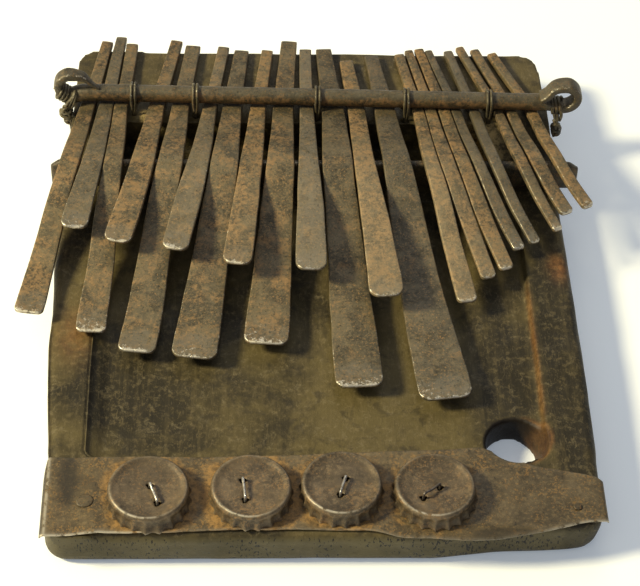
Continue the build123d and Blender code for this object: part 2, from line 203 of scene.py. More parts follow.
def cad_edges(*nodes):
    """Both ends of every mesh edge of these CAD nodes."""
    starts, ends = [], []
    for node in nodes:
        mesh = frame["nodes"][node].data
        points = np.array([v.co for v in mesh.vertices])
        pairs = np.array([e.vertices for e in mesh.edges])
        starts.append(points[pairs[:, 0]])
        ends.append(points[pairs[:, 1]])
    return np.concatenate(starts), np.concatenate(ends)


def cut(edges, axis, at):
    """Points where the plane axis = at meets the edges."""
    a, b = edges
    crossing = (a[:, axis] - at) * (b[:, axis] - at) < 0
    a, b = a[crossing], b[crossing]
    t = (at - a[:, axis]) / (b[:, axis] - a[:, axis])
    return a + (b - a) * t[:, None]


# ---------------------------------------------------------------- making meshes

def new_piece(name, points, faces, material, values):
    """A smooth mesh object with its resting places and any point values kept as attributes."""
    mesh = bpy.data.meshes.new(name)
    mesh.from_pydata(np.asarray(points).tolist(), [], [list(map(int, f)) for f in faces])
    mesh.validate()
    piece = bpy.data.objects.new(name, mesh)
    bpy.context.scene.collection.objects.link(piece)
    dress(piece, material, values)
    return piece


def dress(piece, material, values):
    mesh = piece.data
    mesh.polygons.foreach_set("use_smooth", [True] * len(mesh.polygons))
    rest = np.empty(len(mesh.vertices) * 3, np.float32)
    mesh.vertices.foreach_get("co", rest)
    mesh.attributes.new("rest", "FLOAT_VECTOR", "POINT").data.foreach_set("vector", rest)
    for key, value in values.items():
        per_point = np.broadcast_to(np.asarray(value, np.float32), len(mesh.vertices))
        mesh.attributes.new(key, "FLOAT", "POINT").data.foreach_set("value", per_point.copy())
    mesh.materials.clear()
    mesh.materials.append(material)


def loft_faces(rings, around, first=0):
    """Faces of a closed tube of rings, each with this many points."""
    faces = []
    for ring in range(rings - 1):
        for i in range(around):
            j = (i + 1) % around
            low, high = first + ring * around, first + (ring + 1) * around
            faces.append((low + i, low + j, high + j, high + i))
    last = first + (rings - 1) * around
    faces.append(tuple(first + i for i in reversed(range(around))))
    faces.append(tuple(last + i for i in range(around)))
    return faces


def curve_through(points, per_span=8):
    """A smooth line through the points (Catmull-Rom)."""
    p = np.asarray(points, float)
    p = np.concatenate([2 * p[:1] - p[1:2], p, 2 * p[-1:] - p[-2:-1]])
    out = []
    for i in range(1, len(p) - 2):
        for t in np.arange(per_span) / per_span:
            out.append(0.5 * (2 * p[i] + (p[i + 1] - p[i - 1]) * t
                              + (2 * p[i - 1] - 5 * p[i] + 4 * p[i + 1] - p[i + 2]) * t * t
                              + (3 * p[i] - p[i - 1] - 3 * p[i + 1] + p[i + 2]) * t ** 3))
    out.append(p[-2])
    return np.array(out)


WIRE_AROUND = 10


def wire_points(line, radius, seed):
    """Rings of a round wire along a line, a little uneven, without twist."""
    tangents = np.gradient(line, axis=0)
    tangents /= np.linalg.norm(tangents, axis=1)[:, None]
    side = np.cross(tangents[0], (0.31, 0.57, 0.76))
    angles = full_turn(WIRE_AROUND)
    rings = []
    for place, tangent in zip(line, tangents):
        side = side - tangent * (side @ tangent)
        side /= np.linalg.norm(side)
        other = np.cross(tangent, side)
        ring = place + radius * (np.cos(angles)[:, None] * side + np.sin(angles)[:, None] * other)
        rings.append(ring)
    points = np.concatenate(rings)
    centres = np.repeat(line, WIRE_AROUND, axis=0)
    return centres + (points - centres) * (1 + 0.09 * noise(points, 2.5, seed))[:, None]


def wires(name, lines, radius, material, values):
    """One piece of several wires."""
    points, faces = [], []
    for seed, line in enumerate(lines):
        faces += loft_faces(len(line), WIRE_AROUND, first=sum(len(p) for p in points))
        points.append(wire_points(line, radius, seed))
    return new_piece(name, np.concatenate(points), faces, material, values)


# ---------------------------------------------------------------- materials

class Shader:
    """A node material built round one Principled shader."""

    def __init__(self, name, **constants):
        self.material = bpy.data.materials.new(name)
        self.material.use_nodes = True
        self.tree = self.material.node_tree
        self.shader = self.tree.nodes["Principled BSDF"]
        for key, value in constants.items():
            self.shader.inputs[key.replace("_", " ").capitalize()].default_value = value
        self.place = self.add("ShaderNodeTexCoord").outputs["Object"]

    def add(self, kind, settings=None, inputs=None):
        node = self.tree.nodes.new(kind)
        for key, value in (settings or {}).items():
            setattr(node, key, value)
        for key, value in (inputs or {}).items():
            self.put(node.inputs[key], value)
        return node

    def put(self, socket, value):
        if isinstance(value, bpy.types.NodeSocket):
            self.tree.links.new(value, socket)
        elif socket.type == "RGBA":
            socket.default_value = (*value, 1)
        else:
            socket.default_value = value

    def use_rest(self):
        """Textures stay on the metal where it bends."""
        node = self.add("ShaderNodeAttribute", {"attribute_name": "rest"})
        self.place = node.outputs["Vector"]

    def value(self, name):
        return self.add("ShaderNodeAttribute", {"attribute_name": name}).outputs["Fac"]

    def stretched(self, scale):
        node = self.add("ShaderNodeMapping", inputs={"Vector": self.place, "Scale": scale})
        return node.outputs["Vector"]

    def noise(self, size, detail=4.0, rough=0.6, stretch=None, swirl=0.0):
        """Noise from 0 to 1 with lumps of this size in millimetres."""
        place = self.stretched(stretch) if stretch else self.place
        node = self.add("ShaderNodeTexNoise", inputs={
            "Vector": place, "Scale": 1 / (size * MM), "Detail": detail,
            "Roughness": rough, "Distortion": swirl})
        return node.outputs["Fac"]

    def fit(self, value, low, high, to_low=0.0, to_high=1.0):
        """Value from low to high, carried over to another range and kept inside it."""
        node = self.add("ShaderNodeMapRange", {"interpolation_type": "SMOOTHSTEP"}, {
            "Value": value, "From Min": low, "From Max": high, "To Min": to_low, "To Max": to_high})
        return node.outputs["Result"]

    def maths(self, operation, a, b):
        node = self.add("ShaderNodeMath", {"operation": operation})
        self.put(node.inputs[0], a)
        self.put(node.inputs[1], b)
        return node.outputs["Value"]

    def plus(self, a, b):
        return self.maths("ADD", a, b)

    def minus(self, a, b):
        return self.maths("SUBTRACT", a, b)

    def times(self, a, b):
        return self.maths("MULTIPLY", a, b)

    def mix(self, factor, a, b):
        node = self.add("ShaderNodeMix", {"data_type": "RGBA"})
        self.put(node.inputs["Factor"], factor)
        self.put(node.inputs[6], a)
        self.put(node.inputs[7], b)
        return node.outputs[2]

    def bump(self, height, depth, below=None):
        """A bump of this depth in millimetres, over another one."""
        node = self.add("ShaderNodeBump", inputs={
            "Height": height, "Distance": depth * MM, "Strength": 1.0})
        if below is not None:
            self.put(node.inputs["Normal"], below)
        return node.outputs["Normal"]

    def finish(self, colour, roughness=None, metallic=None, normal=None):
        self.put(self.shader.inputs["Base Color"], colour)
        for key, value in (("Roughness", roughness), ("Metallic", metallic), ("Normal", normal)):
            if value is not None:
                self.put(self.shader.inputs[key], value)


BLACK = (0.0, 0.0, 0.0)


def iron(name, dark, mid, tan, rust, follows=False):
    """Old forged iron: olive-brown oxide, tan and orange rust, pits, bare grey and bright wear, both also
    used for painted highlights.
    """
    s = Shader(name, roughness=0.5)
    if follows:
        s.use_rest()
    clouds = s.noise(13, 5, 0.6, swirl=0.7)
    colour = s.mix(s.fit(clouds, 0.38, 0.62), dark, mid)
    fine = s.noise(1.6, 6, 0.78)
    colour = s.mix(s.fit(fine, 0.48, 0.66, 0.0, 0.6), colour, tan)
    grain = s.noise(0.75, 3, 0.7)
    rusty = s.value("rusty")
    blotches = s.plus(s.noise(7, 9, 0.78, swirl=0.4), s.times(rusty, 0.2))
    rusted = s.times(s.fit(blotches, 0.54, 0.67), s.fit(fine, 0.42, 0.54, 0.12, 1.0))
    colour = s.mix(s.times(rusted, 0.85), colour, rust)
    # bare grey metal, which on the rod's upper side is a painted highlight
    bare_and_highlight = s.times(s.value("bare_and_highlight"), s.fit(s.noise(5, 6, 0.7, swirl=0.5), 0.36, 0.55, 0.3, 1.0))
    colour = s.mix(s.times(bare_and_highlight, 0.8), colour, (0.185, 0.16, 0.112))
    colour = s.mix(s.fit(grain, 0.57, 0.66, 0.0, 0.7), colour, [c * 1.4 for c in rust])
    pits = s.fit(s.plus(grain, s.times(fine, 0.6)), 0.6, 0.7)
    colour = s.mix(pits, s.mix(0.4, BLACK, colour), colour)
    ragged = s.fit(s.noise(1.4, 5, 0.75), 0.32, 0.68, -0.5, 0.5)
    wear_and_highlight = s.fit(s.plus(s.value("wear_and_highlight"), ragged), 0.42, 0.8)
    wear_and_highlight = s.times(wear_and_highlight, s.fit(s.value("wear_and_highlight"), 0.0, 0.08))
    colour = s.mix(wear_and_highlight, colour, (0.6, 0.53, 0.4))
    bright = s.value("tone")
    colour = s.mix(s.fit(bright, -1, 0, 0.45, 0.0), colour, BLACK)
    colour = s.mix(s.fit(bright, 0, 1, 0.0, 0.3), colour, (0.62, 0.48, 0.28))
    metallic = s.plus(s.times(s.minus(1.0, rusted), 0.22), s.times(s.plus(wear_and_highlight, bare_and_highlight), 0.35))
    roughness = s.plus(s.fit(clouds, 0.3, 0.7, 0.6, 0.46), s.times(rusted, 0.2))
    roughness = s.minus(roughness, s.times(s.plus(wear_and_highlight, bare_and_highlight), 0.12))
    normal = s.bump(s.noise(3.2, 3, 0.55), 0.14)
    normal = s.bump(fine, 0.15, normal)
    normal = s.bump(pits, 0.05, normal)
    s.finish(colour, roughness, metallic, normal)
    return s.material


def wood(name):
    """Dark oiled hardwood: mottled on top, smooth and pitted in front, red-brown where hands hold it, with
    painted shade in the hollow and the finger hole and a painted highlight on chipped wood.
    """
    s = Shader(name, roughness=0.5)
    s.shader.inputs["Specular IOR Level"].default_value = 0.25
    # tone brings in the board's own lighter and darker patches, and painted shade low in the hollow and
    # along the recess's left wall
    clouds = s.plus(s.noise(30, 6, 0.62, swirl=0.6), s.times(s.value("tone"), 0.3))
    colour = s.mix(s.fit(clouds, 0.3, 0.68), (0.021, 0.016, 0.0065), (0.104, 0.077, 0.027))
    grain = s.noise(1.8, 7, 0.7, stretch=(1.0, 0.05, 1.0), swirl=0.2)
    colour = s.mix(s.fit(grain, 0.48, 0.66, 0.0, 0.2), colour, (0.15, 0.11, 0.046))
    mottle = s.noise(2.4, 7, 0.78)
    colour = s.mix(s.fit(mottle, 0.5, 0.64, 0.0, 0.42), colour, (0.17, 0.125, 0.055))
    scratches = s.noise(1.0, 6, 0.75, stretch=(1.0, 0.3, 1.0), swirl=1.2)
    colour = s.mix(s.fit(scratches, 0.56, 0.63, 0.0, 0.35), colour, (0.2, 0.15, 0.075))
    lichen = s.times(s.fit(s.noise(6, 9, 0.82, swirl=0.8), 0.54, 0.6), s.fit(mottle, 0.4, 0.55))
    colour = s.mix(s.times(lichen, 0.4), colour, (0.19, 0.15, 0.08))
    smudges = s.fit(s.noise(8, 6, 0.7, swirl=0.4), 0.5, 0.66)
    colour = s.mix(s.times(smudges, 0.55), colour, (0.02, 0.016, 0.009))
    side = s.value("side")
    plain = s.mix(s.fit(clouds, 0.3, 0.7), (0.058, 0.046, 0.018), (0.108, 0.086, 0.036))
    plain = s.mix(s.fit(mottle, 0.56, 0.68, 0.0, 0.35), plain, (0.16, 0.12, 0.06))
    colour = s.mix(s.times(side, 0.9), colour, plain)
    red = s.times(s.value("red"), s.fit(s.noise(4, 6, 0.7), 0.3, 0.55, 0.4, 1.0))
    colour = s.mix(red, colour, s.mix(s.fit(mottle, 0.35, 0.65), (0.12, 0.045, 0.01), (0.27, 0.12, 0.035)))
    # darker inside the finger hole: the wood's own colour and painted shade
    deep = s.fit(s.value("deep"), 0.2, 1.0)
    colour = s.mix(s.times(deep, 0.95), colour, (0.012, 0.008, 0.004))
    # pale raw wood where it is chipped, brightened further as a painted highlight where the splinters catch
    # the light
    raw_wood_and_highlight = s.times(s.value("raw_wood_and_highlight"), s.fit(s.noise(2.0, 4, 0.7), 0.36, 0.6, 0.15, 1.0))
    colour = s.mix(raw_wood_and_highlight, colour, (0.5, 0.36, 0.15))
    scattered = s.noise(0.95, 2, 0.5, stretch=(1.3, 1.0, 0.55))
    scattered = s.plus(scattered, s.fit(s.noise(22, 2, 0.5), 0.4, 0.6, 0.04, -0.05))
    pits = s.times(s.fit(scattered, 0.39, 0.34), side)
    colour = s.mix(pits, colour, (0.008, 0.006, 0.004))
    gloss = s.fit(s.noise(14, 4, 0.6), 0.35, 0.7, 0.62, 0.44)
    gloss = s.minus(gloss, s.times(s.plus(red, side), 0.08))
    gloss = s.plus(gloss, s.times(raw_wood_and_highlight, 0.25))
    normal = s.bump(s.noise(9, 4, 0.6), 0.5)
    normal = s.bump(grain, 0.1, normal)
    normal = s.bump(s.times(mottle, s.minus(1.0, side)), 0.22, normal)
    normal = s.bump(s.minus(1.0, pits), 0.08, normal)
    s.finish(colour, gloss, normal=normal)
    return s.material


def tin(name, body, stain):
    """Sheet tin gone brown, with orange rust where water lay, bright rubbed edges with painted highlights
    and dark smudges with painted shade.
    """
    s = Shader(name, roughness=0.5)
    patches = s.noise(15, 7, 0.68, swirl=0.9)
    colour = s.mix(s.fit(patches, 0.38, 0.62), [c * 0.5 for c in body], body)
    fleck = s.noise(1.7, 6, 0.78)
    colour = s.mix(s.fit(fleck, 0.47, 0.64, 0.0, 0.6), colour, [c * 1.7 for c in body])
    rust = s.plus(s.value("rust"), s.fit(s.noise(8, 8, 0.76, swirl=1.2), 0.38, 0.8, -0.5, 0.5))
    rust = s.fit(rust, 0.1, 0.85)
    orange = s.mix(s.fit(fleck, 0.38, 0.58), [c * 0.42 for c in stain], stain)
    colour = s.mix(s.times(rust, 0.8), colour, orange)
    grain = s.noise(0.8, 3, 0.7)
    specks = s.plus(grain, s.fit(s.noise(9, 5, 0.7, swirl=0.8), 0.35, 0.65, -0.06, 0.06))
    colour = s.mix(s.fit(specks, 0.55, 0.66, 0.0, 0.6), colour, [c * 0.95 for c in stain])
    # dark smudges, and painted shade in the sheet's folds and on the caps' skirts
    smudge_and_shade = s.value("smudge_and_shade")
    colour = s.mix(s.times(smudge_and_shade, s.fit(patches, 0.3, 0.55, 0.5, 0.9)), colour, (0.025, 0.019, 0.01))
    pits = s.fit(s.plus(grain, s.times(fleck, 0.6)), 0.58, 0.67)
    colour = s.mix(pits, s.mix(0.4, BLACK, colour), colour)
    # bright rubbed edges, and painted highlights such as the caps' crest towards the player
    wear_and_highlight = s.times(s.value("wear_and_highlight"), s.fit(s.noise(2.4, 4, 0.65), 0.34, 0.52))
    colour = s.mix(wear_and_highlight, colour, (0.62, 0.54, 0.4))
    metallic = s.plus(s.times(s.minus(1.0, rust), 0.25), s.times(wear_and_highlight, 0.45))
    roughness = s.plus(s.fit(patches, 0.3, 0.7, 0.55, 0.42), s.times(rust, 0.25))
    roughness = s.minus(roughness, s.times(wear_and_highlight, 0.16))
    normal = s.bump(s.noise(6, 3, 0.5), 0.2)
    normal = s.bump(fleck, 0.1, normal)
    normal = s.bump(pits, 0.04, normal)
    s.finish(colour, roughness, metallic, normal)
    return s.material


def bright_wire(name, steel, dull, gloss):
    s = Shader(name, roughness=0.4)
    marks = s.noise(1.6, 4, 0.65)
    colour = s.mix(s.fit(marks, 0.35, 0.65), dull, steel)
    pits = s.fit(s.noise(0.5, 3, 0.6), 0.32, 0.42)
    colour = s.mix(pits, [c * 0.3 for c in dull], colour)
    s.finish(colour, s.fit(marks, 0.3, 0.7, gloss + 0.2, gloss), 0.75, s.bump(marks, 0.08))
    return s.material


# ---------------------------------------------------------------- soundboard

BOARD_VOXEL = 1.0 * MM
HOLE_X, HOLE_Y, HOLE_R = 65.5, -74.8, 11.4      # the finger hole at the top, in millimetres
HOLE_LEAN = 2.6             # how far the hole's right wall is slanted
RECESS_RIGHT = 75.6


def soundboard(material):
    """The carved board: the CAD solid softened by hands and knives."""
    source = frame["nodes"]["soundboard"]
    board = bpy.data.objects.new("carved_soundboard", source.data.copy())
    bpy.context.scene.collection.objects.link(board)
    remesh = board.modifiers.new("remesh", "REMESH")
    remesh.mode = "VOXEL"
    remesh.voxel_size = BOARD_VOXEL
    soften = board.modifiers.new("soften", "SMOOTH")
    soften.factor = 0.5
    soften.iterations = 4
    view = bpy.context.evaluated_depsgraph_get()
    carved = bpy.data.meshes.new_from_object(board.evaluated_get(view))
    board.modifiers.clear()
    board.data = carved
    points, normals = (np.empty(len(carved.vertices) * 3) for _ in range(2))
    carved.vertices.foreach_get("co", points)
    carved.vertex_normals.foreach_get("vector", normals)
    points, normals = points.reshape(-1, 3), normals.reshape(-1, 3)
    chipped = chipping(points)
    carved.vertices.foreach_set("co", worn_points(points, normals, chipped).ravel())
    carved.update()
    dress(board, material, stains_and_painted_light(points, normals, chipped))
    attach(board, "frame")
    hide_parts("soundboard")


def inside_hollow(x, y):
    """1 in the carved hollow between ledge and bridge."""
    return ramp(y, 48.5, 52) * ramp(y, 79, 75) * ramp(x, -80, -74) * ramp(x, 78, 68)


def chipping(points):
    """How splintered the wood is: most at the ledge's right-hand end."""
    x, y, _ = points.T / MM
    return (inside_hollow(x, y) * ramp(x, 52, 62) * ramp(y, 52, 60)
            + 0.8 * np.exp(-((x + 65) / 4) ** 2 - ((y - 80) / 3) ** 2))


def worn_points(points, normals, chipped):
    """The board's points moved by wear, knife marks and chipping."""
    x, y, z = points.T / MM
    top = ramp(normals[:, 2], 0.2, 0.8)
    push = 0.32 * rough(points, 45, 2, 3) + 0.1 * rough(points, 9, 2, 5)
    push += top * 0.08 * noise(points, (5, 30, 5), 8)
    push += (1 - top) * inside_hollow(x, y) * 0.7 * rough(points, 5, 3, 12)
    push += chipped * (1.0 * rough(points, 4.5, 3, 21) - 0.35)
    # flat where the plate lies on it
    covered = np.maximum(ramp(y, -83, -86) * ramp(z, 12, 14),
                         ramp(y, -80, -85) * ramp(y, -111, -107) * ramp(np.abs(x), 84, 89))
    push = push * (1 - 0.9 * covered) - 0.2 * covered
    points = points + normals * (push * MM)[:, None]
    # the finger hole is worn wider at the top on its right side
    from_hole = np.hypot(x - HOLE_X, y - HOLE_Y)
    points[:, 0] -= HOLE_LEAN * MM * ramp(from_hole, 13.5, 11.5) * ramp(z, 13, 1) * ramp(x, 61, 73)
    # the left side bulges behind its middle
    bulge = 0.9 * ramp(y, -80, -50) * ramp(y, 95, 60) + 1.2 * ramp(y, -20, 10) * ramp(y, 75, 45)
    points[:, 0] -= bulge * MM * ramp(x, -85, -92)
    # the recess grows shallow towards the left rail in front of the keys
    points[:, 2] += 2.1 * MM * ramp(x, -73, -79) * ramp(y, -12, -30) * ramp(z, 14.5, 12.5) * ramp(z, 9.5, 11)
    # the front right corner is rounded off underneath
    corner = ramp(x, 76, 92) * ramp(y, -98, -115) * ramp(z, 11, 0)
    points[:, 0] -= 1.7 * MM * corner
    points[:, 1] += 1.1 * MM * corner
    points[:, 2] = np.maximum(points[:, 2], 0)
    return points


def stains_and_painted_light(points, normals, chipped):
    """What the board's material is told at each point."""
    x, y, z = points.T / MM

    def patch(px, py, wide, tall):
        return np.exp(-((x - px) / wide) ** 2 - ((y - py) / tall) ** 2)

    # red-brown where hands rub the rails, along the recess's right edge and round the hole
    from_hole = np.hypot(x - HOLE_X, y - HOLE_Y)
    red = ramp(z, 12.5, 14) * (0.5 * patch(-86, -29, 6, 11) + 0.9 * patch(88, 4, 3.5, 6))
    red += 0.5 * hump(x, RECESS_RIGHT, 0.8) * ramp(y, -72, -58) * ramp(y, 2, -14)
    red += 0.6 * ramp(from_hole, 13.0, 11.6) * ramp(x, 66, 74)
    # the finger hole's walls darken towards black: the wood's own darker colour, with painted shade
    # strongest on the left wall, away from the key light
    deep = ramp(from_hole, 12.2, 11.0) * (1 - 0.35 * ramp(x, 70, 75))
    # the right rail and the corners of the recess are nearly black; painted shade darkens the foot of the
    # recess's left wall and the steep faces low in the hollow
    tone = 0.35 * patch(20, -60, 55, 30) + 0.75 * patch(-86, -29, 7, 14)
    tone -= 0.8 * patch(-62, -52, 20, 24) + 0.9 * patch(68, -42, 16, 40) + 0.25 * patch(-84, 30, 10, 60)
    tone += 0.5 * patch(-72, 10, 6, 24)
    # the right rail's own dark wood, and painted shade along the foot of the recess's left wall
    tone -= 0.6 * ramp(x, 77, 80) * ramp(y, 25, 5) + 0.35 * patch(-79.5, -55, 1.2, 30)
    # painted shade on steep faces low down, such as the walls of the hollow
    tone -= 0.3 * ramp(z, 11, 8) * (np.abs(normals[:, 2]) < 0.9)
    side = ramp(normals[:, 2], 0.65, 0.2) * ramp(y, -108, -113)
    return {"red": np.clip(red, 0, 1), "deep": deep, "raw_wood_and_highlight": np.clip(chipped, 0, 1), "side": side,
            "tone": np.clip(tone, -1, 1)}


# ---------------------------------------------------------------- keys

KEY_STEP = 1.3              # millimetres between rings
KEY_EDGE = 0.42             # radius of the long edges
EDGE_SHARE = 0.42           # of the thickness, at most, where the edges are rolled
REAR_CORNER = 0.5           # radius of the rear end's corners
BEND_REACH = 6.0            # a reach from the hinge towards the rear end, in millimetres
FLAT_POINTS = 9             # points across each broad face
ARC_POINTS = 3              # points round each long edge
TIP_ROUND = {"bass": 0.22, "upper": 0.33, "right": 0.3}     # share of the width
THUMBED = {"bass": 11.0, "upper": 8.0, "right": 4.5}        # polished by the thumb, from the tip
# how rusty, how bare and how light each key is
KEY_LOOK = {
    "bass_key_1": (0.45, 0.1, 0.1), "bass_key_2": (0.35, 0.15, 0.1), "bass_key_3": (0.3, 0.25, 0.05),
    "bass_key_4": (0.35, 0.25, 0.0), "bass_key_5": (0.4, 0.15, 0.0), "bass_key_6": (0.1, 0.2, -0.1),
    "bass_key_7": (0.15, 0.4, -0.15), "upper_key_1": (0.15, 0.5, 0.1), "upper_key_2": (0.6, 0.15, 0.1),
    "upper_key_3": (0.35, 0.5, 0.3), "upper_key_4": (0.6, 0.1, 0.3), "upper_key_5": (0.2, 0.7, 0.4),
    "upper_key_6": (0.6, 0.15, 0.5), "right_key_1": (0.55, 0.1, 0.55), "right_key_2": (0.55, 0.15, 0.4),
    "right_key_3": (0.6, 0.05, 0.3), "right_key_4": (0.1, 0.55, 0.0), "right_key_5": (0.0, 0.65, 0.0),
    "right_key_6": (0.4, 0.25, 0.2), "right_key_7": (0.45, 0.2, 0.2), "right_key_8": (0.55, 0.1, 0.3)}


def bar_section():
    """Where each point of a bar's section lies: shares of the flat half sizes and of the edge."""
    rows = []
    corners = ((1, 1), (1, -1), (-1, -1), (-1, 1))
    arc = np.linspace(0, math.pi / 2, ARC_POINTS + 1)
    for index, (sx, sz) in enumerate(corners):
        turn = math.pi / 2 * (1 - index)
        for a in arc:
            rows.append((sx, sz, math.cos(turn - a), math.sin(turn - a)))
        if index == 1:
            for share in np.linspace(1, -1, FLAT_POINTS)[1:-1]:
                rows.append((share, -1, 0, -1))
        if index == 3:
            for share in np.linspace(-1, 1, FLAT_POINTS)[1:-1]:
                rows.append((share, 1, 0, 1))
    return np.array(rows).T


SECTION = bar_section()


def read_key(name, hinge_y):
    """Centre, width, underside and top of a key along Y, in millimetres, from its CAD solids."""
    edges = cad_edges(name, name + "_shank")
    front = min(edges[0][:, 1].min(), edges[1][:, 1].min()) / MM
    rear = max(edges[0][:, 1].max(), edges[1][:, 1].max()) / MM
    rows = []
    for y in np.arange(front + 0.4, rear - 0.3, 1.0):
        if abs(y - hinge_y) > 2.5:
            x0, z0, x1, z1 = (f(c) for f in (np.min, np.max)
                              for c in (cut(edges, 1, y * MM) / MM).T[[0, 2]])
            rows.append((y, (x0 + x1) / 2, x1 - x0, z0, z1))
    return np.array(rows), edges[0] / MM, front


def key_course(name, hinge_y):
    """A key's rings from its tip, in millimetres: places along it, centres, headings and sizes."""
    kind = name.split("_")[0]
    table, corners, front = read_key(name, hinge_y)
    plain = table[:, 0] > front + 0.55 * table[:8, 2].max() + 1
    ys = np.arange(table[plain, 0].min(), table[:, 0].max() + 0.3, 1.0)
    centre = blurred(np.interp(ys, table[plain, 0], table[plain, 1]), 6)
    width = blurred(np.interp(ys, table[plain, 0], table[plain, 2]), 4)
    heading = np.array([centre[0] - centre[6], ys[0] - ys[6]])
    heading /= np.linalg.norm(heading)
    start = np.array([centre[0], ys[0]])
    reach = ((corners[:, :2] - start) @ heading).max()
    # the rings lie close where the tip rounds
    corner = TIP_ROUND[kind] * width[0]
    close = corner * (1 - np.cos(np.linspace(0, math.pi / 2, 9)))
    along = np.concatenate([[0, 0.12, 0.3], close[close > 0.35]])
    length = reach + np.hypot(np.diff(centre), np.diff(ys)).sum()
    along = np.concatenate([along, np.arange(along[-1] + KEY_STEP, length - 0.5, KEY_STEP),
                            [length - 0.35, length - 0.1, length]])
    travelled = reach + np.concatenate([[0], np.cumsum(np.hypot(np.diff(centre), np.diff(ys)))])
    ahead = np.clip(reach - along, 0, None)
    cx = np.interp(along, travelled, centre) + heading[0] * ahead
    cy = np.interp(along, travelled, ys) + heading[1] * ahead
    tangent = np.stack([np.gradient(cx, along), np.gradient(cy, along)], 1)
    tangent /= np.linalg.norm(tangent, axis=1)[:, None]
    wide = np.interp(along, travelled, width) * np.abs(tangent[:, 1])
    order = np.argsort(table[:, 0])
    under, over = (np.interp(cy, table[order, 0], table[order, column]) for column in (3, 4))
    # the rounded tip, the square rear end and their rolled edges
    from_rear = length - along
    half = wide / 2 - corner + np.sqrt(corner ** 2 - np.clip(corner - along, 0, corner) ** 2)
    half -= REAR_CORNER - np.sqrt(REAR_CORNER ** 2 - np.clip(REAR_CORNER - from_rear, 0, REAR_CORNER) ** 2)
    thick = over - under
    roll = EDGE_SHARE * thick
    t = np.clip(roll - along, 0, roll) + np.clip(roll - from_rear, 0, roll)
    thick = thick - 2 * (roll - np.sqrt(roll ** 2 - np.minimum(t, roll * 0.98) ** 2))
    return along, np.stack([cx, cy, (over + under) / 2], 1), tangent, wide, half, thick


def forge_key(name, material, index):
    """One key from tip to rear end, clamped part and tongue, as one strip."""
    kind = name.split("_")[0]
    joint = next(j for j in frame["joints"] if j["child"] == name)
    hinge = np.array(joint["pos_m"]) / MM
    along, centre, tangent, wide, half, thick = key_course(name, hinge[1])
    edge = np.minimum(KEY_EDGE, thick * EDGE_SHARE)[:, None]
    line = centre * (1, 1, 0) * MM
    bend = 0.28 * noise(line, 26, 40 + index) * ramp(along, 0, 20)
    wave = 0.014 * wide[:, None]
    edge_wave = np.stack([noise(line, 9, 60 + index), noise(line, 9, 90 + index)], 1)
    sx, sz, ex, ez = SECTION
    halves = half[:, None] + wave * np.where(sx > 0, edge_wave[:, :1], edge_wave[:, 1:])
    lateral = sx * np.maximum(halves - edge, 0.05) + ex * edge
    height = sz * (thick[:, None] / 2 - edge) + ez * edge
    height = height + 0.1 * (1 - sx ** 2) * sz * ramp(along, 0, 3)[:, None]
    # dished by the thumb
    thumbed = THUMBED[kind]
    dish = hump(along, 0.5 * thumbed, 0.4 * thumbed)[:, None]
    height = height - 0.03 * thumbed * dish * (1 - 0.8 * sx ** 2)
    across = np.stack([-tangent[:, 1], tangent[:, 0]], 1)
    px = centre[:, :1] + across[:, :1] * lateral + (across[:, :1] * bend[:, None])
    py = centre[:, 1:2] + across[:, 1:] * lateral
    pz = centre[:, 2:] + height
    points = np.stack([px, py, pz], 2).reshape(-1, 3) * MM
    strike = 0.11 * noise(points, (4.5, 9, 50), 80 + index) + 0.05 * noise(points, (2, 3, 50), index)
    points[:, 2] += strike * np.tile(np.abs(ez), len(along)) * MM
    # bright where the thumb rubs the tip and along the edges, darker towards the bar
    rows = np.repeat(along, len(sx))
    rim = np.tile(((np.abs(ex) > 0.2) & (np.abs(ez) > 0.2)).astype(float), len(along))
    upper_face = np.tile(ramp(ez, -0.3, 0.3), len(along))
    spread = ramp(noise(points, 9, 130 + index), -0.5, 0.5)
    wear_and_highlight = upper_face * (np.exp(-rows / 0.5) + 0.62 * spread * np.exp(-rows / (0.35 * thumbed)))
    wear_and_highlight += (0.18 if kind == "right" else 0.28) * rim * upper_face * ramp(rows, 70, 10)
    rusty, bare_and_highlight, tone = KEY_LOOK[name]
    spatula = np.hypot(rows / thumbed, 0.75 * lateral.ravel() / np.repeat(half.max(), len(rows)))
    bare_and_highlight = bare_and_highlight + 0.45 * ramp(spatula, 1.1, 0.85) * upper_face
    tone = tone - 0.45 * np.repeat(ramp(centre[:, 1], 25, 72), len(sx))
    values = {"wear_and_highlight": np.clip(wear_and_highlight, 0, 1), "bare_and_highlight": np.clip(bare_and_highlight, 0, 1), "rusty": rusty, "tone": tone}
    key = new_piece("forged_" + name, points, loft_faces(len(along), len(sx)), material, values)
    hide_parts(name, name + "_shank")
    rearward = np.array([-joint["axis"][1], joint["axis"][0], 0])
    rearward *= BEND_REACH * np.sign(rearward[1])
    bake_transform(key)


# ---------------------------------------------------------------- pressure bar and bridge

def bar_line():
    """The askew bar's centre Y at X = 0, its slope, its height and its radius, in metres."""
    edges = cad_edges("pressure_bar")
    left, right = (cut(edges, 0, x) for x in (-0.06, 0.06))
    y_left, y_right = (np.mean([c[:, 1].min(), c[:, 1].max()]) for c in (left, right))
    z = (left[:, 2].min() + left[:, 2].max()) / 2
    radius = (left[:, 2].max() - left[:, 2].min()) / 2
    return (y_left + y_right) / 2, (y_right - y_left) / 0.12, z, radius


BAR_Y0, BAR_SLOPE, BAR_Z, BAR_R = bar_line()
EYE_R = 5.2 * MM            # middle of the curled strip
EYE_HALF_THICK = 1.65 * MM
EYE_HALF_WIDE = 2.8 * MM
BAR_AROUND = 28
BRIDGE_AROUND = 26


def on_bar(points):
    """Points drawn round the bar's own straight line (X, across, Z), put in place."""
    p = np.array(points, float)
    p[:, 1] += BAR_Y0 + BAR_SLOPE * p[:, 0]
    return p


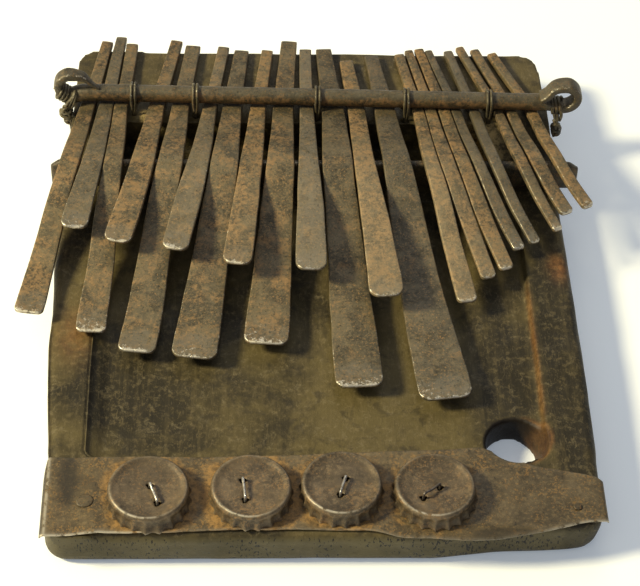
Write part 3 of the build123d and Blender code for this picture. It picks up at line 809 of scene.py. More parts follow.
def eye_path(side, centre_x, centre_z, tip_reach, neck):
    """From the strip's pointed tip on the rod, round the eye, to where the rod starts."""
    top = BAR_Z + BAR_R
    path = [(centre_x - side * tip_reach * MM, top - 0.1 * MM),
            (centre_x - side * 0.72 * tip_reach * MM, 0.55 * top + 0.45 * centre_z + 1.6 * MM),
            (centre_x - side * 0.4 * tip_reach * MM, centre_z + 0.83 * EYE_R)]
    for angle in np.radians([84, 60, 30, 0, -30, -60, -88]):
        path.append((centre_x + side * EYE_R * math.cos(angle), centre_z + EYE_R * math.sin(angle)))
    for away in neck:
        path.append((centre_x - side * away * MM, BAR_Z - 1.2 * MM * ramp(away, neck[-1] + 1, 0)))
    return path


def pressure_bar(material):
    """The rod that holds the keys down, hammered flat at both ends and curled into eyes."""
    low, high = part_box("pressure_bar")
    reach = EYE_R + EYE_HALF_THICK + 0.1 * MM
    left_x, right_x, eye_z = low[0] + reach, high[0] - reach, high[2] - reach
    left = eye_path(-1, left_x, eye_z, 10.6, (2.0, 4.5))
    right = eye_path(1, right_x, eye_z, 9.0, (3.0, 6.0, 8.5))
    rod_left, rod_right = left_x - 0.3 * MM, right_x - 6.5 * MM
    rod = [(x, BAR_Z) for x in np.linspace(left_x + 8 * MM, right_x - 12 * MM, 30)]
    line = curve_through([(x, 0, z) for x, z in left + rod + right[::-1]], 5)
    tangents = np.gradient(line, axis=0)
    tangents /= np.linalg.norm(tangents, axis=1)[:, None]
    inside = np.abs(line[:, 2] - BAR_Z) < 2.2 * MM
    rodness = inside * ramp(line[:, 0], rod_left - 0.6 * MM, rod_left + 1.6 * MM) * ramp(
        line[:, 0], rod_right + 1 * MM, rod_right - 3 * MM)
    travelled = np.concatenate([[0], np.cumsum(np.linalg.norm(np.diff(line, axis=0), axis=1))])
    from_end = np.minimum(travelled, travelled[-1] - travelled)
    # the left eye's tip is drawn out to a point, the right one is blunt and broad
    blunt = ramp(line[:, 0], 0.5 * rod_right, rod_right)
    pointed = 1 - blunt
    half_wide = EYE_HALF_WIDE * (1 - 0.7 * pointed * ramp(from_end, 15 * MM, -2 * MM) + 0.22 * blunt)
    half_thick = EYE_HALF_THICK * (1 - (0.8 * pointed + 0.3 * blunt) * ramp(from_end, 12 * MM, -1 * MM))
    half_wide = half_wide * (1 - rodness) + BAR_R * rodness
    half_thick = half_thick * (1 - rodness) + BAR_R * rodness
    line[:, 1] -= 1.0 * MM * ramp(from_end, 9 * MM, 0)
    angles = full_turn(BAR_AROUND)
    power = (2 / (4.2 - 2.2 * rodness))[:, None]
    c, s = np.cos(angles), np.sin(angles)
    wide = squared(c, power) * half_wide[:, None]
    thick = squared(s, power) * half_thick[:, None]
    inward = np.stack([-tangents[:, 2], 0 * tangents[:, 0], tangents[:, 0]], 1)
    points = line[:, None] + thick[:, :, None] * inward[:, None]
    points[:, :, 1] += wide
    points = points.reshape(-1, 3)
    centres = np.repeat(line, BAR_AROUND, axis=0)
    lumps = 1 + 0.03 * noise(points, (7, 4, 4), 3) + 0.02 * noise(points, 2.5, 4)
    points = on_bar(centres + (points - centres) * lumps[:, None])
    rings = np.repeat(rodness, BAR_AROUND)
    # painted highlight: the rod's upper side is made bare grey, its lower side rustier
    upward = ramp((points - on_bar(centres))[:, 2], 0.3 * BAR_R, 0.95 * BAR_R)
    wear_and_highlight = 0.28 * np.tile(ramp(np.abs(c * s), 0.3, 0.5), len(line)) * (1 - rings)
    values = {"wear_and_highlight": wear_and_highlight, "bare_and_highlight": 0.5 * upward * rings + 0.4 * (1 - rings),
              "rusty": 0.75 * (1 - upward) * rings, "tone": -0.25}
    bar = new_piece("forged_pressure_bar", points, loft_faces(len(line), BAR_AROUND), material, values)
    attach(bar, "frame")
    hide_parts("pressure_bar")


def bridge(material):
    """The iron strip under the keys."""
    low, high = (np.array(corner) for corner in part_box("bridge"))
    half = (high[1] - low[1]) / 2
    height = high[2] - low[2]
    centre_y = (high[1] + low[1]) / 2
    xs = np.concatenate([low[0] + np.array([0, 0.25, 0.7, 1.5, 3.0]) * MM,
                         np.arange(low[0] + 4.5 * MM, high[0] - 4 * MM, 1.5 * MM),
                         high[0] - np.array([3.0, 1.5, 0.7, 0.25, 0]) * MM])
    angles = full_turn(BRIDGE_AROUND)
    c, s = np.cos(angles), np.sin(angles)
    from_end = np.minimum(xs - low[0], high[0] - xs)
    shrink = 0.55 + 0.45 * np.sqrt(np.clip(from_end / (1.6 * MM), 0, 1))
    chamfer = 2.6 * MM * (1 - np.clip(from_end / (3.5 * MM), 0, 1))
    y = squared(c, 0.55) * half
    z = squared(s, 0.35) * height / 2
    points = np.empty((len(xs), BRIDGE_AROUND, 3))
    points[:, :, 0] = xs[:, None]
    points[:, :, 1] = centre_y + y * shrink[:, None]
    points[:, :, 2] = low[2] + height / 2 + z - np.where(z > 0, chamfer[:, None], 0)
    points = points.reshape(-1, 3)
    dents = 0.16 * noise(points, (8, 20, 5), 6) + 0.06 * noise(points, 2.2, 7)
    points[:, 1] += dents * MM * np.sign(points[:, 1] - centre_y)
    points[:, 2] -= np.where(points[:, 2] > low[2] + 0.8 * height, 0.12 + dents, 0) * MM
    # the top edge is lighter: wear where the keys rest, and a painted highlight
    strip = new_piece("forged_bridge", points, loft_faces(len(xs), BRIDGE_AROUND), material,
                      {"wear_and_highlight": 0.2 * ramp(points[:, 2], high[2] - 1.2 * MM, high[2]),
                       "bare_and_highlight": 0.0, "rusty": 0.2, "tone": -0.6})
    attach(strip, "frame")
    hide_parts("bridge")


# ---------------------------------------------------------------- wire ties and bindings

TIE_WIRE = 0.58 * MM
TIE_TOP_SPREAD = 0.72 * MM
TIE_FOOT_SPREAD = 0.25 * MM
BINDING_WIRE = 0.64 * MM
NECK_X = 93.4               # where the right eye's binding is wound, in millimetres
WIRE_LOOK = {"wear_and_highlight": 0.12, "bare_and_highlight": 0.15, "rusty": 0.2, "tone": 0.0}


def tie(number, material):
    """One of the doubled wires that pull the bar down through the board."""
    node = f"tie_wire_{number}"
    low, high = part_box(node)
    x = (low[0] + high[0]) / 2
    foot_z = low[2] + TIE_WIRE
    out = BAR_R + TIE_WIRE + 0.03 * MM
    lines = []
    for side in (-1, 1):
        top_x, foot_x = x + side * TIE_TOP_SPREAD, x + side * TIE_FOOT_SPREAD
        points = [(foot_x, 0.5 * MM, foot_z), (foot_x, out - 0.3 * MM, foot_z),
                  (foot_x, out, 3 * MM), (foot_x, out, 14 * MM), (top_x, out, BAR_Z - 2 * MM)]
        for angle in np.radians([20, 45, 70, 90, 110, 135, 160]):
            points.append((top_x, out * math.cos(angle), BAR_Z + out * math.sin(angle)))
        points += [(top_x, -out, BAR_Z - 1.5 * MM), (foot_x, -out, 19.5 * MM),
                   (foot_x, -out, 12 * MM), (foot_x, -out, 3 * MM),
                   (foot_x, -out + 0.3 * MM, foot_z), (foot_x, -0.5 * MM, foot_z)]
        lines.append(on_bar(curve_through(points, 6)))
    piece = wires(f"twisted_{node}", lines, TIE_WIRE, material, WIRE_LOOK)
    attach(piece, "frame")
    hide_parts(node)


def wrap(centre, out, turns, pitch, start=0.0):
    """Wire wound tight round the flat strip of an eye. Out points across the strip's flat face."""
    a = np.linspace(start, start + turns * 2 * math.pi, int(turns * 24) + 1)
    first, second = np.array(out), np.array([0.0, 1.0, 0.0])
    axis = np.cross(first, second)
    flat = (EYE_HALF_THICK + BINDING_WIRE) * squared(np.cos(a), 0.7)
    wide = (EYE_HALF_WIDE + BINDING_WIRE) * squared(np.sin(a), 0.7)
    run = (a - a.mean()) / (2 * math.pi) * pitch
    return np.array(centre) + np.outer(flat, first) + np.outer(wide, second) + np.outer(run, axis)


def knot(centre, size, turns, seed):
    """A hard knot: one wire wound over itself in changing directions."""
    a = np.linspace(0, turns * 2 * math.pi, turns * 18 + 1)
    tilt = a * 0.37 + seed
    lean = a * 0.21 + 2 * seed
    x = np.cos(a) * np.cos(tilt) - 0.45 * np.sin(a) * np.sin(tilt)
    y = np.sin(a) * 0.75
    z = np.cos(a) * np.sin(tilt) * 0.8 + np.sin(a) * np.cos(lean) * 0.9
    return np.array(centre) + size * np.stack([x, y, z], 1)


def strand(*places):
    """A wire through places given in millimetres round the bar's line."""
    return curve_through(np.array(places) * MM, 8)


def left_binding(material):
    """Wire wound and knotted round the strip of the left eye."""
    low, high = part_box("pressure_bar")
    reach = EYE_R + EYE_HALF_THICK
    eye = np.array([low[0] + reach, 0, high[2] - reach])
    lean = math.radians(232)
    out = np.array([math.cos(lean), 0, math.sin(lean)])
    lines = [wrap(eye + EYE_R * out, out, 4.2, 1.35 * MM, 0.4)]
    x, _, z = eye / MM + np.array([0.5, 0, 0])
    for dx, dz in ((-1.1, 0.0), (0.1, 0.6), (1.3, 0.3)):
        lines.append(strand((x + 0.9 + 0.3 * dx, -1.4, z - 2.2 + dz),
                            (x + 0.4 + 0.5 * dx, -3.6, z - 3.4 + dz),
                            (x - 1.2 + dx, -4.4, z - 6.2), (x - 2.4 + 0.6 * dx, -4.4, z - 9.4)))
    lines.append(knot(np.array([x - 2.8, -4.3, z - 10.0]) * MM, 2.3 * MM, 4, 0.4))
    lines.append(knot(np.array([x - 1.9, -4.4, z - 12.9]) * MM, 2.0 * MM, 3, 1.9))
    lines.append(strand((x - 2.2, -4.4, z - 13), (x - 1.5, -4.6, z - 16.2), (x - 1.3, -4.4, z - 19.5)))
    lines.append(strand((x - 1.6, -4.6, z - 10.6), (x + 0.2, -5.4, z - 11.2), (x + 1.2, -5.2, z - 12.4)))
    finish_binding("left_eye_binding", lines, material)


def right_binding(material):
    """Wire wound and knotted where the right eye meets the rod."""
    eye_z = (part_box("pressure_bar")[1][2] - EYE_R - EYE_HALF_THICK) / MM
    x, z = NECK_X, eye_z - EYE_R / MM + 0.15
    lines = [wrap(np.array([x, 0, z]) * MM, np.array([0, 0, 1.0]), 3.2, 1.38 * MM, 0.2)]
    for dx in (-0.9, 0.5):
        lines.append(strand((x + dx, -3.2, z - 1.4), (x + 0.5 * dx + 0.3, -4.3, z - 4.0),
                            (x + 0.4, -4.2, z - 7.0)))
    lines.append(strand((x + 1.6, -3.3, z + 0.8), (x + 1.9, -3.9, z - 2.2), (x + 1.5, -3.9, z - 4.6)))
    lines.append(knot(np.array([x + 0.5, -4.1, z - 7.4]) * MM, 1.75 * MM, 4, 0.9))
    lines.append(knot(np.array([x + 0.7, -4.1, z - 10.0]) * MM, 1.5 * MM, 3, 2.3))
    finish_binding("right_eye_binding", lines, material)


def finish_binding(node, lines, material):
    piece = wires(f"wound_{node}", [on_bar(line) for line in lines], BINDING_WIRE, material, WIRE_LOOK)
    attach(piece, "frame")
    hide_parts(node)


# ---------------------------------------------------------------- tin plate

PLATE_SKIN = 0.55 * MM
PLATE_STEP = 0.7            # millimetres between the sheet's rows, which run from rear to front
PLATE_COLUMNS = 46          # points in each row
# the plate's torn front edge: X and Y along it, in millimetres
FRONT_EDGE = ((-93.0, -116.2), (-86, -115.9), (-75, -114.8), (-62, -115.1), (-41, -113.9), (-25, -113.5),
              (2.5, -113.6), (14, -114.0), (22, -116.0), (33, -116.4), (46, -116.8), (56, -116.5),
              (71, -114.5), (84, -110.9), (93, -110.4))
REAR_EDGE = ((-93.0, -84.1), (-88, -83.9), (-78, -84.1), (-65, -83.9), (-42, -84.1), (-8, -83.0),
             (24, -81.3), (42, -80.7), (52.5, -79.6), (70, -87.6), (78, -89.3), (87, -91.3), (93, -92.9))
FOLD_RADIUS_LEFT = 1.8
FOLD_RADIUS_RIGHT = 1.1
FOLD_DROP_LEFT = 1.6
FOLD_DROP_RIGHT = 5.6
CAP_NAMES = [f"crown_cap_{i}" for i in range(1, 5)]


def cap_centres():
    """The caps' middles in plan, in millimetres."""
    return [((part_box(n)[0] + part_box(n)[1]) / 2 / MM)[:2] for n in CAP_NAMES]


def fold_sheet(middle, half):
    """Along the sheet from left to right: its own measure, X, height, bend and length folded down."""
    end_left = half - FOLD_RADIUS_LEFT * (1 - math.pi / 2) + FOLD_DROP_LEFT
    end_right = half - FOLD_RADIUS_RIGHT * (1 - math.pi / 2) + FOLD_DROP_RIGHT
    us = np.arange(-end_left, end_right + 0.01, PLATE_STEP)
    turn = np.where(us < 0, FOLD_RADIUS_LEFT, FOLD_RADIUS_RIGHT)
    flat = half - turn
    quarter = turn * math.pi / 2
    bend = np.clip(np.abs(us) - flat, 0, quarter) / turn
    drop = np.clip(np.abs(us) - flat - quarter, 0, None)
    sheet_x = middle + np.sign(us) * (np.minimum(np.abs(us), flat) + turn * np.sin(bend))
    return us, sheet_x, -turn * (1 - np.cos(bend)) - drop, bend, drop


def sheet_edges(us, sheet_x, drop, past_left, nearest):
    """Y of the sheet's torn front edge and of its rear edge, which is cut out round the hole."""
    lead = np.clip(sheet_x, -92.6, 92.6)
    front, rear = (np.interp(lead, *np.array(edge).T) for edge in (FRONT_EDGE, REAR_EDGE))
    front, rear = blurred(front, 2.5), blurred(rear, 1.5)
    chord = np.clip(HOLE_R ** 2 - (lead - HOLE_X) ** 2, 0, None)
    rear = np.where(chord > 0, np.minimum(rear, HOLE_Y - np.sqrt(chord)), rear)
    ragged = np.stack([us, 0 * us, 0 * us], 1) * MM
    front = front + 0.22 * rough(ragged, 5, 3, 4)
    folded = ramp(drop, 0, 1.5)
    front = np.maximum(front + folded * np.where(us < 0, 7, 4.4), nearest)
    rear = rear - 10 * ramp(past_left, 0.4, 3.0)
    return front, rear - folded * 0.8 - 1.3 * ramp(sheet_x, 88.5, 92.4) ** 2


def behind_crease(x, y):
    """How far behind the crease along the front right a point lies, in millimetres."""
    return y + 112.6 + 0.035 * (x - 45)


def sheet_height(x, y, to_front, middle, half, top):
    """Height of the sheet's upper face, folds aside: dents, a crease and the torn lip."""
    places = np.stack([x, y, 0 * x], 1) * MM
    lift = 0.22 * rough(places, 22, 2, 31) + 0.07 * rough(places, 6, 2, 33)
    # the torn lip lifts off the rounded wood, and droops where it overhangs most
    curl = np.exp(-to_front / 1.6) * (0.25 + 0.35 * noise(places, (16, 400, 400), 35))
    droop = -0.9 * np.exp(-to_front / 2.2) * ramp(x, 18, 26) * ramp(x, 66, 56)
    crease = -0.55 * ramp(behind_crease(x, y), 0.5, -0.5) * ramp(x, 40, 47) * ramp(x, 70, 64)
    press = -0.3 * hump(x, -84, 3.5) + 0.25 * hump(x, -76, 4)
    press += -0.35 * np.exp(-((x - 82.7) ** 2 + (y + 104.6) ** 2) / 5)
    flatness = ramp(np.abs(x - middle), half - 0.2, half - 3)
    return np.maximum(top + (lift + press) * flatness + curl + droop + crease, top - 2.4)


def sheet_faces(rows, columns):
    """Upper face, lower face and rim of a sheet; the lower points follow all the upper ones."""
    faces = []
    count = rows * columns
    for i in range(rows - 1):
        for j in range(columns - 1):
            a, b = i * columns + j, (i + 1) * columns + j
            faces.append((a, a + 1, b + 1, b))
            faces.append((a + count, b + count, b + 1 + count, a + 1 + count))
    rim = [i * columns for i in range(rows)] + [(rows - 1) * columns + j for j in range(1, columns)]
    rim += [i * columns + columns - 1 for i in range(rows - 2, -1, -1)] + list(range(columns - 2, 0, -1))
    return faces + [(a, b, b + count, a + count) for a, b in zip(rim, rim[1:] + rim[:1])]


def sheet_marks(upper, x, y, to_front, to_rear, past_left):
    """Rust round the caps, bright worn edges, dark smudges and painted shade in the folds, for both faces of
    the sheet.
    """
    rust = 0 * x
    for (cap_x, cap_y), strong in zip(cap_centres(), (1.0, 1.0, 0.85, 0.6)):
        rust = np.maximum(rust, strong * ramp(np.hypot(x - cap_x, y - cap_y), 23, 14.5))
    rust *= ramp(x + 0.4 * (y + 100), -84, -70)
    rust += 0.3 * ramp(x, 36, 60) * ramp(noise(upper, 14, 71), -0.4, 0.5)
    # painted shade in the pressed dip near the left end and in front of the crease at the front right; also
    # a dirty spot, a darker folded-down left flange and a darker right part
    smudge_and_shade = hump(x, -85, 3.0) * ramp(y, -108, -100)
    smudge_and_shade += 0.5 * np.exp(-((x + 79) / 6) ** 2 - ((y + 94) / 4) ** 2)
    smudge_and_shade += 0.6 * ramp(behind_crease(x, y), 0.4, -0.4) * ramp(x, 44, 50) * ramp(x, 72, 66)
    smudge_and_shade += 0.9 * ramp(past_left, 0.5, 1.1) + 0.2 * ramp(x, 45, 60)
    edge = np.minimum(np.minimum(to_front, to_rear), 50)
    front_wear = 0.08 + 0.8 * ramp(x, -50, -75) + 0.55 * ramp(x, 66, 80)
    wear_and_highlight = front_wear * np.exp(-to_front / 0.4) + 0.1 * np.exp(-np.maximum(edge, 0) / 0.4)
    wear_and_highlight += 0.7 * hump(past_left, 0.2, 0.45)
    return {"wear_and_highlight": np.tile(np.clip(wear_and_highlight, 0, 1), 2), "rust": np.tile(rust, 2),
            "smudge_and_shade": np.tile(np.clip(smudge_and_shade, 0, 1), 2)}


def face_plate(material):
    """The torn tin sheet, folded down over both sides of the board."""
    low, high = box_mm("face_plate")
    middle, half = (low[0] + high[0]) / 2, (high[0] - low[0]) / 2
    us, sheet_x, sheet_z, bend, drop = fold_sheet(middle, half)
    past_left = -half + FOLD_RADIUS_LEFT - us
    front, rear = sheet_edges(us, sheet_x, drop, past_left, low[1] + 0.02)
    share = np.linspace(0, 1, PLATE_COLUMNS)
    y = (rear[:, None] + (front - rear)[:, None] * share).ravel()
    x, sheet_z, past_left, front, rear = (
        np.repeat(row, PLATE_COLUMNS) for row in (sheet_x, sheet_z, past_left, front, rear))
    z = sheet_height(x, y, y - front, middle, half, high[2]) + sheet_z
    outward = np.stack([np.sign(us) * np.sin(bend), 0 * us, np.cos(bend)], 1)
    outward = np.repeat(outward, PLATE_COLUMNS, 0)
    upper = np.stack([x, y, z], 1) * MM
    lower = upper - outward * PLATE_SKIN
    plate = new_piece("tin_face_plate", np.concatenate([upper, lower]),
                      sheet_faces(len(us), PLATE_COLUMNS), material,
                      sheet_marks(upper, x, y, y - front, rear - y, past_left))
    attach(plate, "frame")
    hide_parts("face_plate")


# ---------------------------------------------------------------- crown caps, staples, nails

CAP_FLUTES = 21
CAP_AROUND = CAP_FLUTES * 8
# from the middle out: radius and height of the cap's outer skin, in millimetres
CAP_PROFILE = ((0.0, 4.8), (2.5, 4.8), (5, 4.8), (7.5, 4.83), (9.4, 4.94), (10.6, 5.14), (11.4, 5.4),
               (12.0, 5.58), (12.5, 5.55), (12.9, 5.3), (13.2, 4.85), (13.4, 4.2), (13.6, 3.2),
               (13.9, 2.2), (14.25, 1.2), (14.45, 0.6), (14.6, 0.0))
CAP_FLARE = {1: 1.3, 2: 0.5, 3: 0.6, 4: 0.7}      # how far the skirt spreads towards the player
CAP_SKIN = 0.32
CAP_DENTS = {1: ((-4, 3, 5, 0.25), (5, -2, 4, 0.2), (7, 7, 5, 0.25)),
             2: ((-5, 5, 4, 0.3), (3, 2, 6, 0.2), (4, 12.5, 5, 0.5)),
             3: ((-6, 2, 4, 0.35), (6, 5, 4, 0.2), (1, 12.5, 4, 0.35)),
             4: ((0, 1, 8, 0.7), (6, -3, 4, 0.25), (-7, -6, 4, 0.25))}
CAP_RUST = {1: 0.25, 2: 0.3, 3: 0.5, 4: 0.35}
STAPLE_RIM = 1.15           # the holes' mean radius
STAPLE_WIRE = 0.44 * MM
NAIL_AROUND = 40
NAIL_TOP = 15.92            # heights in millimetres
NAIL_HEAD_FROM, NAIL_SHANK_TO = 15.5, 14


def staple_feet():
    """The four staples' feet in plan, from the CAD solids, in millimetres."""
    low, high = cad_edges("cap_staples")
    points = np.concatenate([low, high]) / MM
    legs = points[points[:, 2] < 12]
    feet = []
    for centre in cap_centres():
        near = legs[np.hypot(*(legs[:, :2] - centre).T) < 14]
        middle = near[:, :2].mean(0)
        spread = near[:, :2] - middle
        axis = np.linalg.eigh(spread.T @ spread)[1][:, -1]
        part = spread @ axis
        feet.append([near[part > 0][:, :2].mean(0), near[part < 0][:, :2].mean(0)])
    return feet


def cap_rings(scale):
    """Radius and height of the cap's rings, which lie close where the staple's legs go through."""
    profile = curve_through([(r, 0, z) for r, z in CAP_PROFILE], 3)
    inside = np.concatenate([[0.1], np.arange(0.5, 7.3, 0.35)])
    outside = profile[:, 0] >= 7.5
    radius = np.concatenate([inside, profile[outside, 0]]) * scale
    height = np.concatenate([np.interp(inside, profile[:, 0], profile[:, 2]), profile[outside, 2]])
    return radius, height


def towards(angles, direction, spread):
    """1 in one direction round the cap, fading to both sides of it."""
    return hump(np.angle(np.exp(1j * (angles - direction))), 0, spread)


def cap_outline(number, radius, height, angles, crimp):
    """Radius at each point: flutes, and a skirt that spreads towards the player."""
    depth = ramp(height, 4.9, 1.6)[:, None]
    r = radius[:, None] - depth * crimp * 1.2
    place = np.stack([np.cos(angles), np.sin(angles), 0 * angles], 1) * 5 * MM + number
    uneven = 1 - 0.012 * depth * (1 + noise(place, 4, number))
    return r * uneven + CAP_FLARE[number] * towards(angles, -1.35, 0.95) * ramp(height, 4.5, 0)[:, None]


def cap_faces(gone, count):
    """Both skins of a cap without the faces that are gone; count is the points of one skin."""
    skin = [tuple(range(CAP_AROUND))]
    for ring in range(len(gone)):
        for i in np.flatnonzero(~gone[ring]):
            j = (i + 1) % CAP_AROUND
            a, b = ring * CAP_AROUND + i, ring * CAP_AROUND + j
            skin.append((a, a + CAP_AROUND, b + CAP_AROUND, b))
    faces = skin + [tuple(corner + count for corner in reversed(face)) for face in skin]
    # walls round the holes and along the skirt's edge
    sides = {side for face in skin for side in zip(face, face[1:] + face[:1])}
    return faces + [(b, a, a + count, b + count) for a, b in sides if (b, a) not in sides]


def cap_marks(number, radius, height, angles, crimp, spots):
    """Wear, rust and smudges for both skins of a cap, with a painted highlight on the crest and painted
    shade on the skirt.
    """
    shape = (len(radius), CAP_AROUND)
    # painted highlight: the crest is lighter on the side towards the player, over a faint rubbed band all
    # round
    wear_and_highlight = hump(radius, 12.45, 0.3)[:, None] * (0.1 + 0.8 * towards(angles, -1.85, 0.6))
    wear_and_highlight += 0.3 * ramp(height, 0.7, 0.1)[:, None] * (1 - crimp)
    rust = 0.3 * ramp(height, 1.6, 0.2)[:, None] + 0.25 * ramp(radius, 11, 4)[:, None]
    rust = rust + CAP_RUST[number] * ramp(noise(spots, 8, 70 + number), -0.35, 0.45).reshape(shape)
    # the skirt is darker, with painted shade deepest in the flute valleys; the blotches inside the crest are
    # dirt
    smudge_and_shade = 0.45 * ramp(height, 4.4, 3.0)[:, None] * (0.4 + 0.6 * crimp)
    blotch = ramp(noise(spots, 6, 90 + number), 0.0, 0.5).reshape(shape)
    smudge_and_shade = smudge_and_shade + 0.4 * (ramp(radius, 13.3, 12.3)[:, None] * blotch)
    return {"wear_and_highlight": np.tile(wear_and_highlight.ravel(), 2), "rust": np.tile(rust.ravel(), 2),
            "smudge_and_shade": np.tile(smudge_and_shade.ravel(), 2)}


def crown_cap(number, feet, material):
    """A crimped cap with dents and holes for its staple's legs."""
    name = CAP_NAMES[number - 1]
    low, high = box_mm(name)
    centre = (low + high)[:2] / 2
    radius, height = cap_rings((high[0] - low[0]) / 2 / CAP_PROFILE[-1][0])
    angles = full_turn(CAP_AROUND)
    crimp = np.abs(np.sin((angles + 0.7 * number) * CAP_FLUTES / 2)) ** 0.75
    r = cap_outline(number, radius, height, angles, crimp)
    x, y = r * np.cos(angles), r * np.sin(angles)
    spots = np.stack([x.ravel(), y.ravel(), 0 * x.ravel()], 1) * MM
    buckle = (0.14 * rough(spots, 7, 2, 50 + number)).reshape(x.shape)
    z = height[:, None] + buckle * ramp(radius, 13.2, 12.2)[:, None]
    for dx, dy, size, deep in CAP_DENTS[number]:
        dent = deep * np.exp(-((x - dx) ** 2 + (y - dy) ** 2) / size ** 2)
        z = z - ramp(radius, 13.3, 12.3)[:, None] * dent
    x, y = x + centre[0], y + centre[1]
    for foot in feet:
        z = z - 0.35 * ramp(np.hypot(x - foot[0], y - foot[1]), 2.2, 0.6)
    x, y, gone = pierce(x, y, feet)
    thinner = np.where(radius > 12.2, CAP_SKIN, 0)[:, None]
    sink = np.where(radius > 13.3, 0.0, CAP_SKIN)[:, None]
    outer = np.stack([x, y, z + low[2]], 2).reshape(-1, 3)
    inner = np.stack([x - thinner * np.cos(angles), y - thinner * np.sin(angles),
                      np.maximum(z - sink, 0) + low[2]], 2).reshape(-1, 3)
    cap = new_piece(f"crimped_{name}", np.concatenate([outer, inner]) * MM,
                    cap_faces(gone, len(outer)), material,
                    cap_marks(number, radius, height, angles, crimp, spots))
    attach(cap, name)
    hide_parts(name)


def pierce(x, y, feet):
    """Ragged holes where the staple's legs go through: moved points, and the faces that are gone."""
    pairs_x, pairs_y = x + np.roll(x, -1, 1), y + np.roll(y, -1, 1)
    middle_x = pairs_x[:-1] / 4 + pairs_x[1:] / 4
    middle_y = pairs_y[:-1] / 4 + pairs_y[1:] / 4
    gone = np.zeros(middle_x.shape, bool)
    for index, foot in enumerate(feet):
        def rim(px, py):
            turn = np.arctan2(py - foot[1], px - foot[0])
            return STAPLE_RIM * (1 + 0.16 * np.sin(3 * turn + index) + 0.08 * np.sin(5 * turn)), turn

        hole = np.hypot(middle_x - foot[0], middle_y - foot[1]) < rim(middle_x, middle_y)[0]
        gone |= hole
        # points that touch both a face of the hole and one beside it move onto the rim
        padded = np.pad(hole, ((1, 1), (0, 0)))
        touching = [padded[:-1], padded[1:], np.roll(padded, 1, 1)[:-1], np.roll(padded, 1, 1)[1:]]
        edge = np.any(touching, 0) & ~np.all(touching, 0)
        reach, turn = rim(x, y)
        x = np.where(edge, foot[0] + reach * np.cos(turn), x)
        y = np.where(edge, foot[1] + reach * np.sin(turn), y)
    return x, y, gone


def staples(feet, steel, dark):
    """A bent wire over each cap; the fourth is darker and sags more."""
    low, high = box_mm("cap_staples")
    crown = high[2] - 0.5
    for number, ((x0, y0), (x1, y1)) in enumerate(feet, 1):
        sag = 0.35 if number < 4 else 0.7
        points = [(x0, y0, low[2] + 0.5), (x0, y0, 15), (x0, y0, crown - 1.2),
                  (x0 + 0.12 * (x1 - x0), y0 + 0.12 * (y1 - y0), crown - 0.15),
                  ((x0 + x1) / 2, (y0 + y1) / 2, crown - sag),
                  (x1 - 0.12 * (x1 - x0), y1 - 0.12 * (y1 - y0), crown - 0.3),
                  (x1, y1, crown - 1.4), (x1, y1, 15), (x1, y1, low[2] + 0.5)]
        line = curve_through(points, 8) * MM
        piece = wires(f"bent_staple_{number}", [line], STAPLE_WIRE, steel if number < 4 else dark,
                      {"wear_and_highlight": 0.5, "tone": 0.0})
        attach(piece, "frame")
        if number == 1:
            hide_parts("cap_staples")


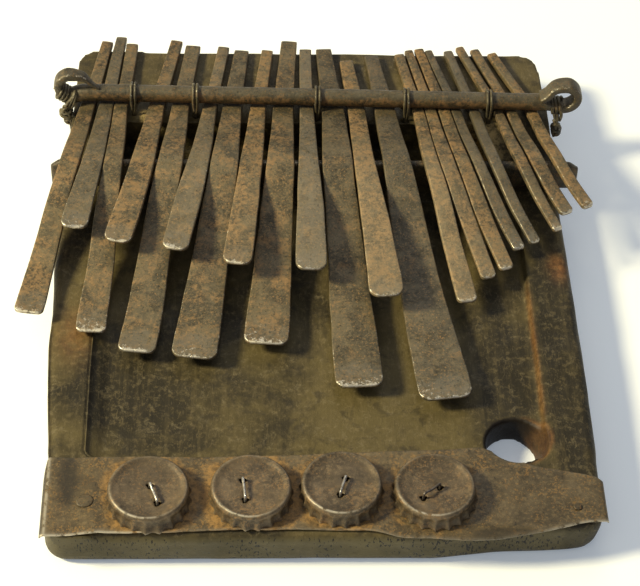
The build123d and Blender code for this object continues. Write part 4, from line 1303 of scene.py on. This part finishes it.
def nails(material):
    """The two nails that hold the plate."""
    low, high = cad_edges("plate_nails")
    points = np.concatenate([low, high]) / MM
    for number, side in enumerate((-1, 1), 1):
        own = points[np.sign(points[:, 0]) == side]
        head, shank = own[own[:, 2] > NAIL_HEAD_FROM], own[own[:, 2] < NAIL_SHANK_TO]
        centre = (head.min(0) + head.max(0))[:2] / 2
        head_r = (head[:, 0].max() - head[:, 0].min()) / 2
        shank_r = (shank[:, 0].max() - shank[:, 0].min()) / 2
        profile = [(0.02, NAIL_TOP + 0.05), (head_r * 0.5, NAIL_TOP + 0.04), (head_r * 0.85, NAIL_TOP),
                   (head_r, NAIL_TOP - 0.12), (head_r, 15.45), (shank_r, 15.4), (shank_r, 10),
                   (shank_r * 0.9, 7.5), (0.02, 6.4)]
        angles = full_turn(NAIL_AROUND)
        rings = []
        for r, z in profile:
            uneven = r * (1 + 0.05 * np.sin(2 * angles + number) + 0.02 * np.sin(5 * angles))
            rings.append(np.stack([centre[0] + uneven * np.cos(angles), centre[1] + uneven * np.sin(angles),
                                   z + 0.05 * np.sin(angles + 2) * (z > 15)], 1))
        rings = np.concatenate(rings[::-1]) * MM
        wear_and_highlight = 0.5 * (np.hypot(rings[:, 0] / MM - centre[0], rings[:, 1] / MM - centre[1]) > 0.8 * head_r)
        piece = new_piece(f"nail_{number}", rings, loft_faces(len(profile), NAIL_AROUND), material,
                          {"wear_and_highlight": 0.25 * wear_and_highlight, "bare_and_highlight": 0.0, "rusty": -0.5, "tone": -0.4})
        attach(piece, "frame")
        if number == 1:
            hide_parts("plate_nails")


# ---------------------------------------------------------------- the whole scene

def build():
    make_camera()
    make_stage()
    key_iron = iron("key_iron", (0.05, 0.038, 0.016), (0.136, 0.102, 0.047), (0.24, 0.168, 0.078),
                    (0.25, 0.138, 0.048), follows=True)
    bar_iron = iron("bar_iron", (0.03, 0.022, 0.008), (0.08, 0.058, 0.022), (0.18, 0.13, 0.055),
                    (0.17, 0.085, 0.023))
    wire_iron = iron("tie_wire_iron", (0.035, 0.027, 0.011), (0.085, 0.067, 0.029), (0.18, 0.14, 0.065),
                     (0.13, 0.075, 0.026))
    nail_iron = iron("nail_iron", (0.06, 0.043, 0.02), (0.115, 0.083, 0.04), (0.18, 0.125, 0.06),
                     (0.18, 0.09, 0.03))
    plate_tin = tin("plate_tin", (0.125, 0.088, 0.04), (0.33, 0.175, 0.045))
    cap_tin = tin("cap_tin", (0.132, 0.092, 0.048), (0.3, 0.165, 0.06))
    steel = bright_wire("staple_steel", (0.62, 0.58, 0.52), (0.3, 0.26, 0.2), 0.25)
    dark_steel = bright_wire("dark_staple_steel", (0.24, 0.2, 0.16), (0.1, 0.08, 0.06), 0.35)
    soundboard(wood("board_wood"))
    bridge(bar_iron)
    pressure_bar(bar_iron)
    keys = [j["child"] for j in frame["joints"] if "key" in j["child"]]
    for index, name in enumerate(keys):
        forge_key(name, key_iron, index)
    for number in range(1, 6):
        tie(number, wire_iron)
    left_binding(wire_iron)
    right_binding(wire_iron)
    face_plate(plate_tin)
    feet = staple_feet()
    for number in range(1, 5):
        crown_cap(number, feet[number - 1], cap_tin)
    staples(feet, steel, dark_steel)
    nails(nail_iron)


build()
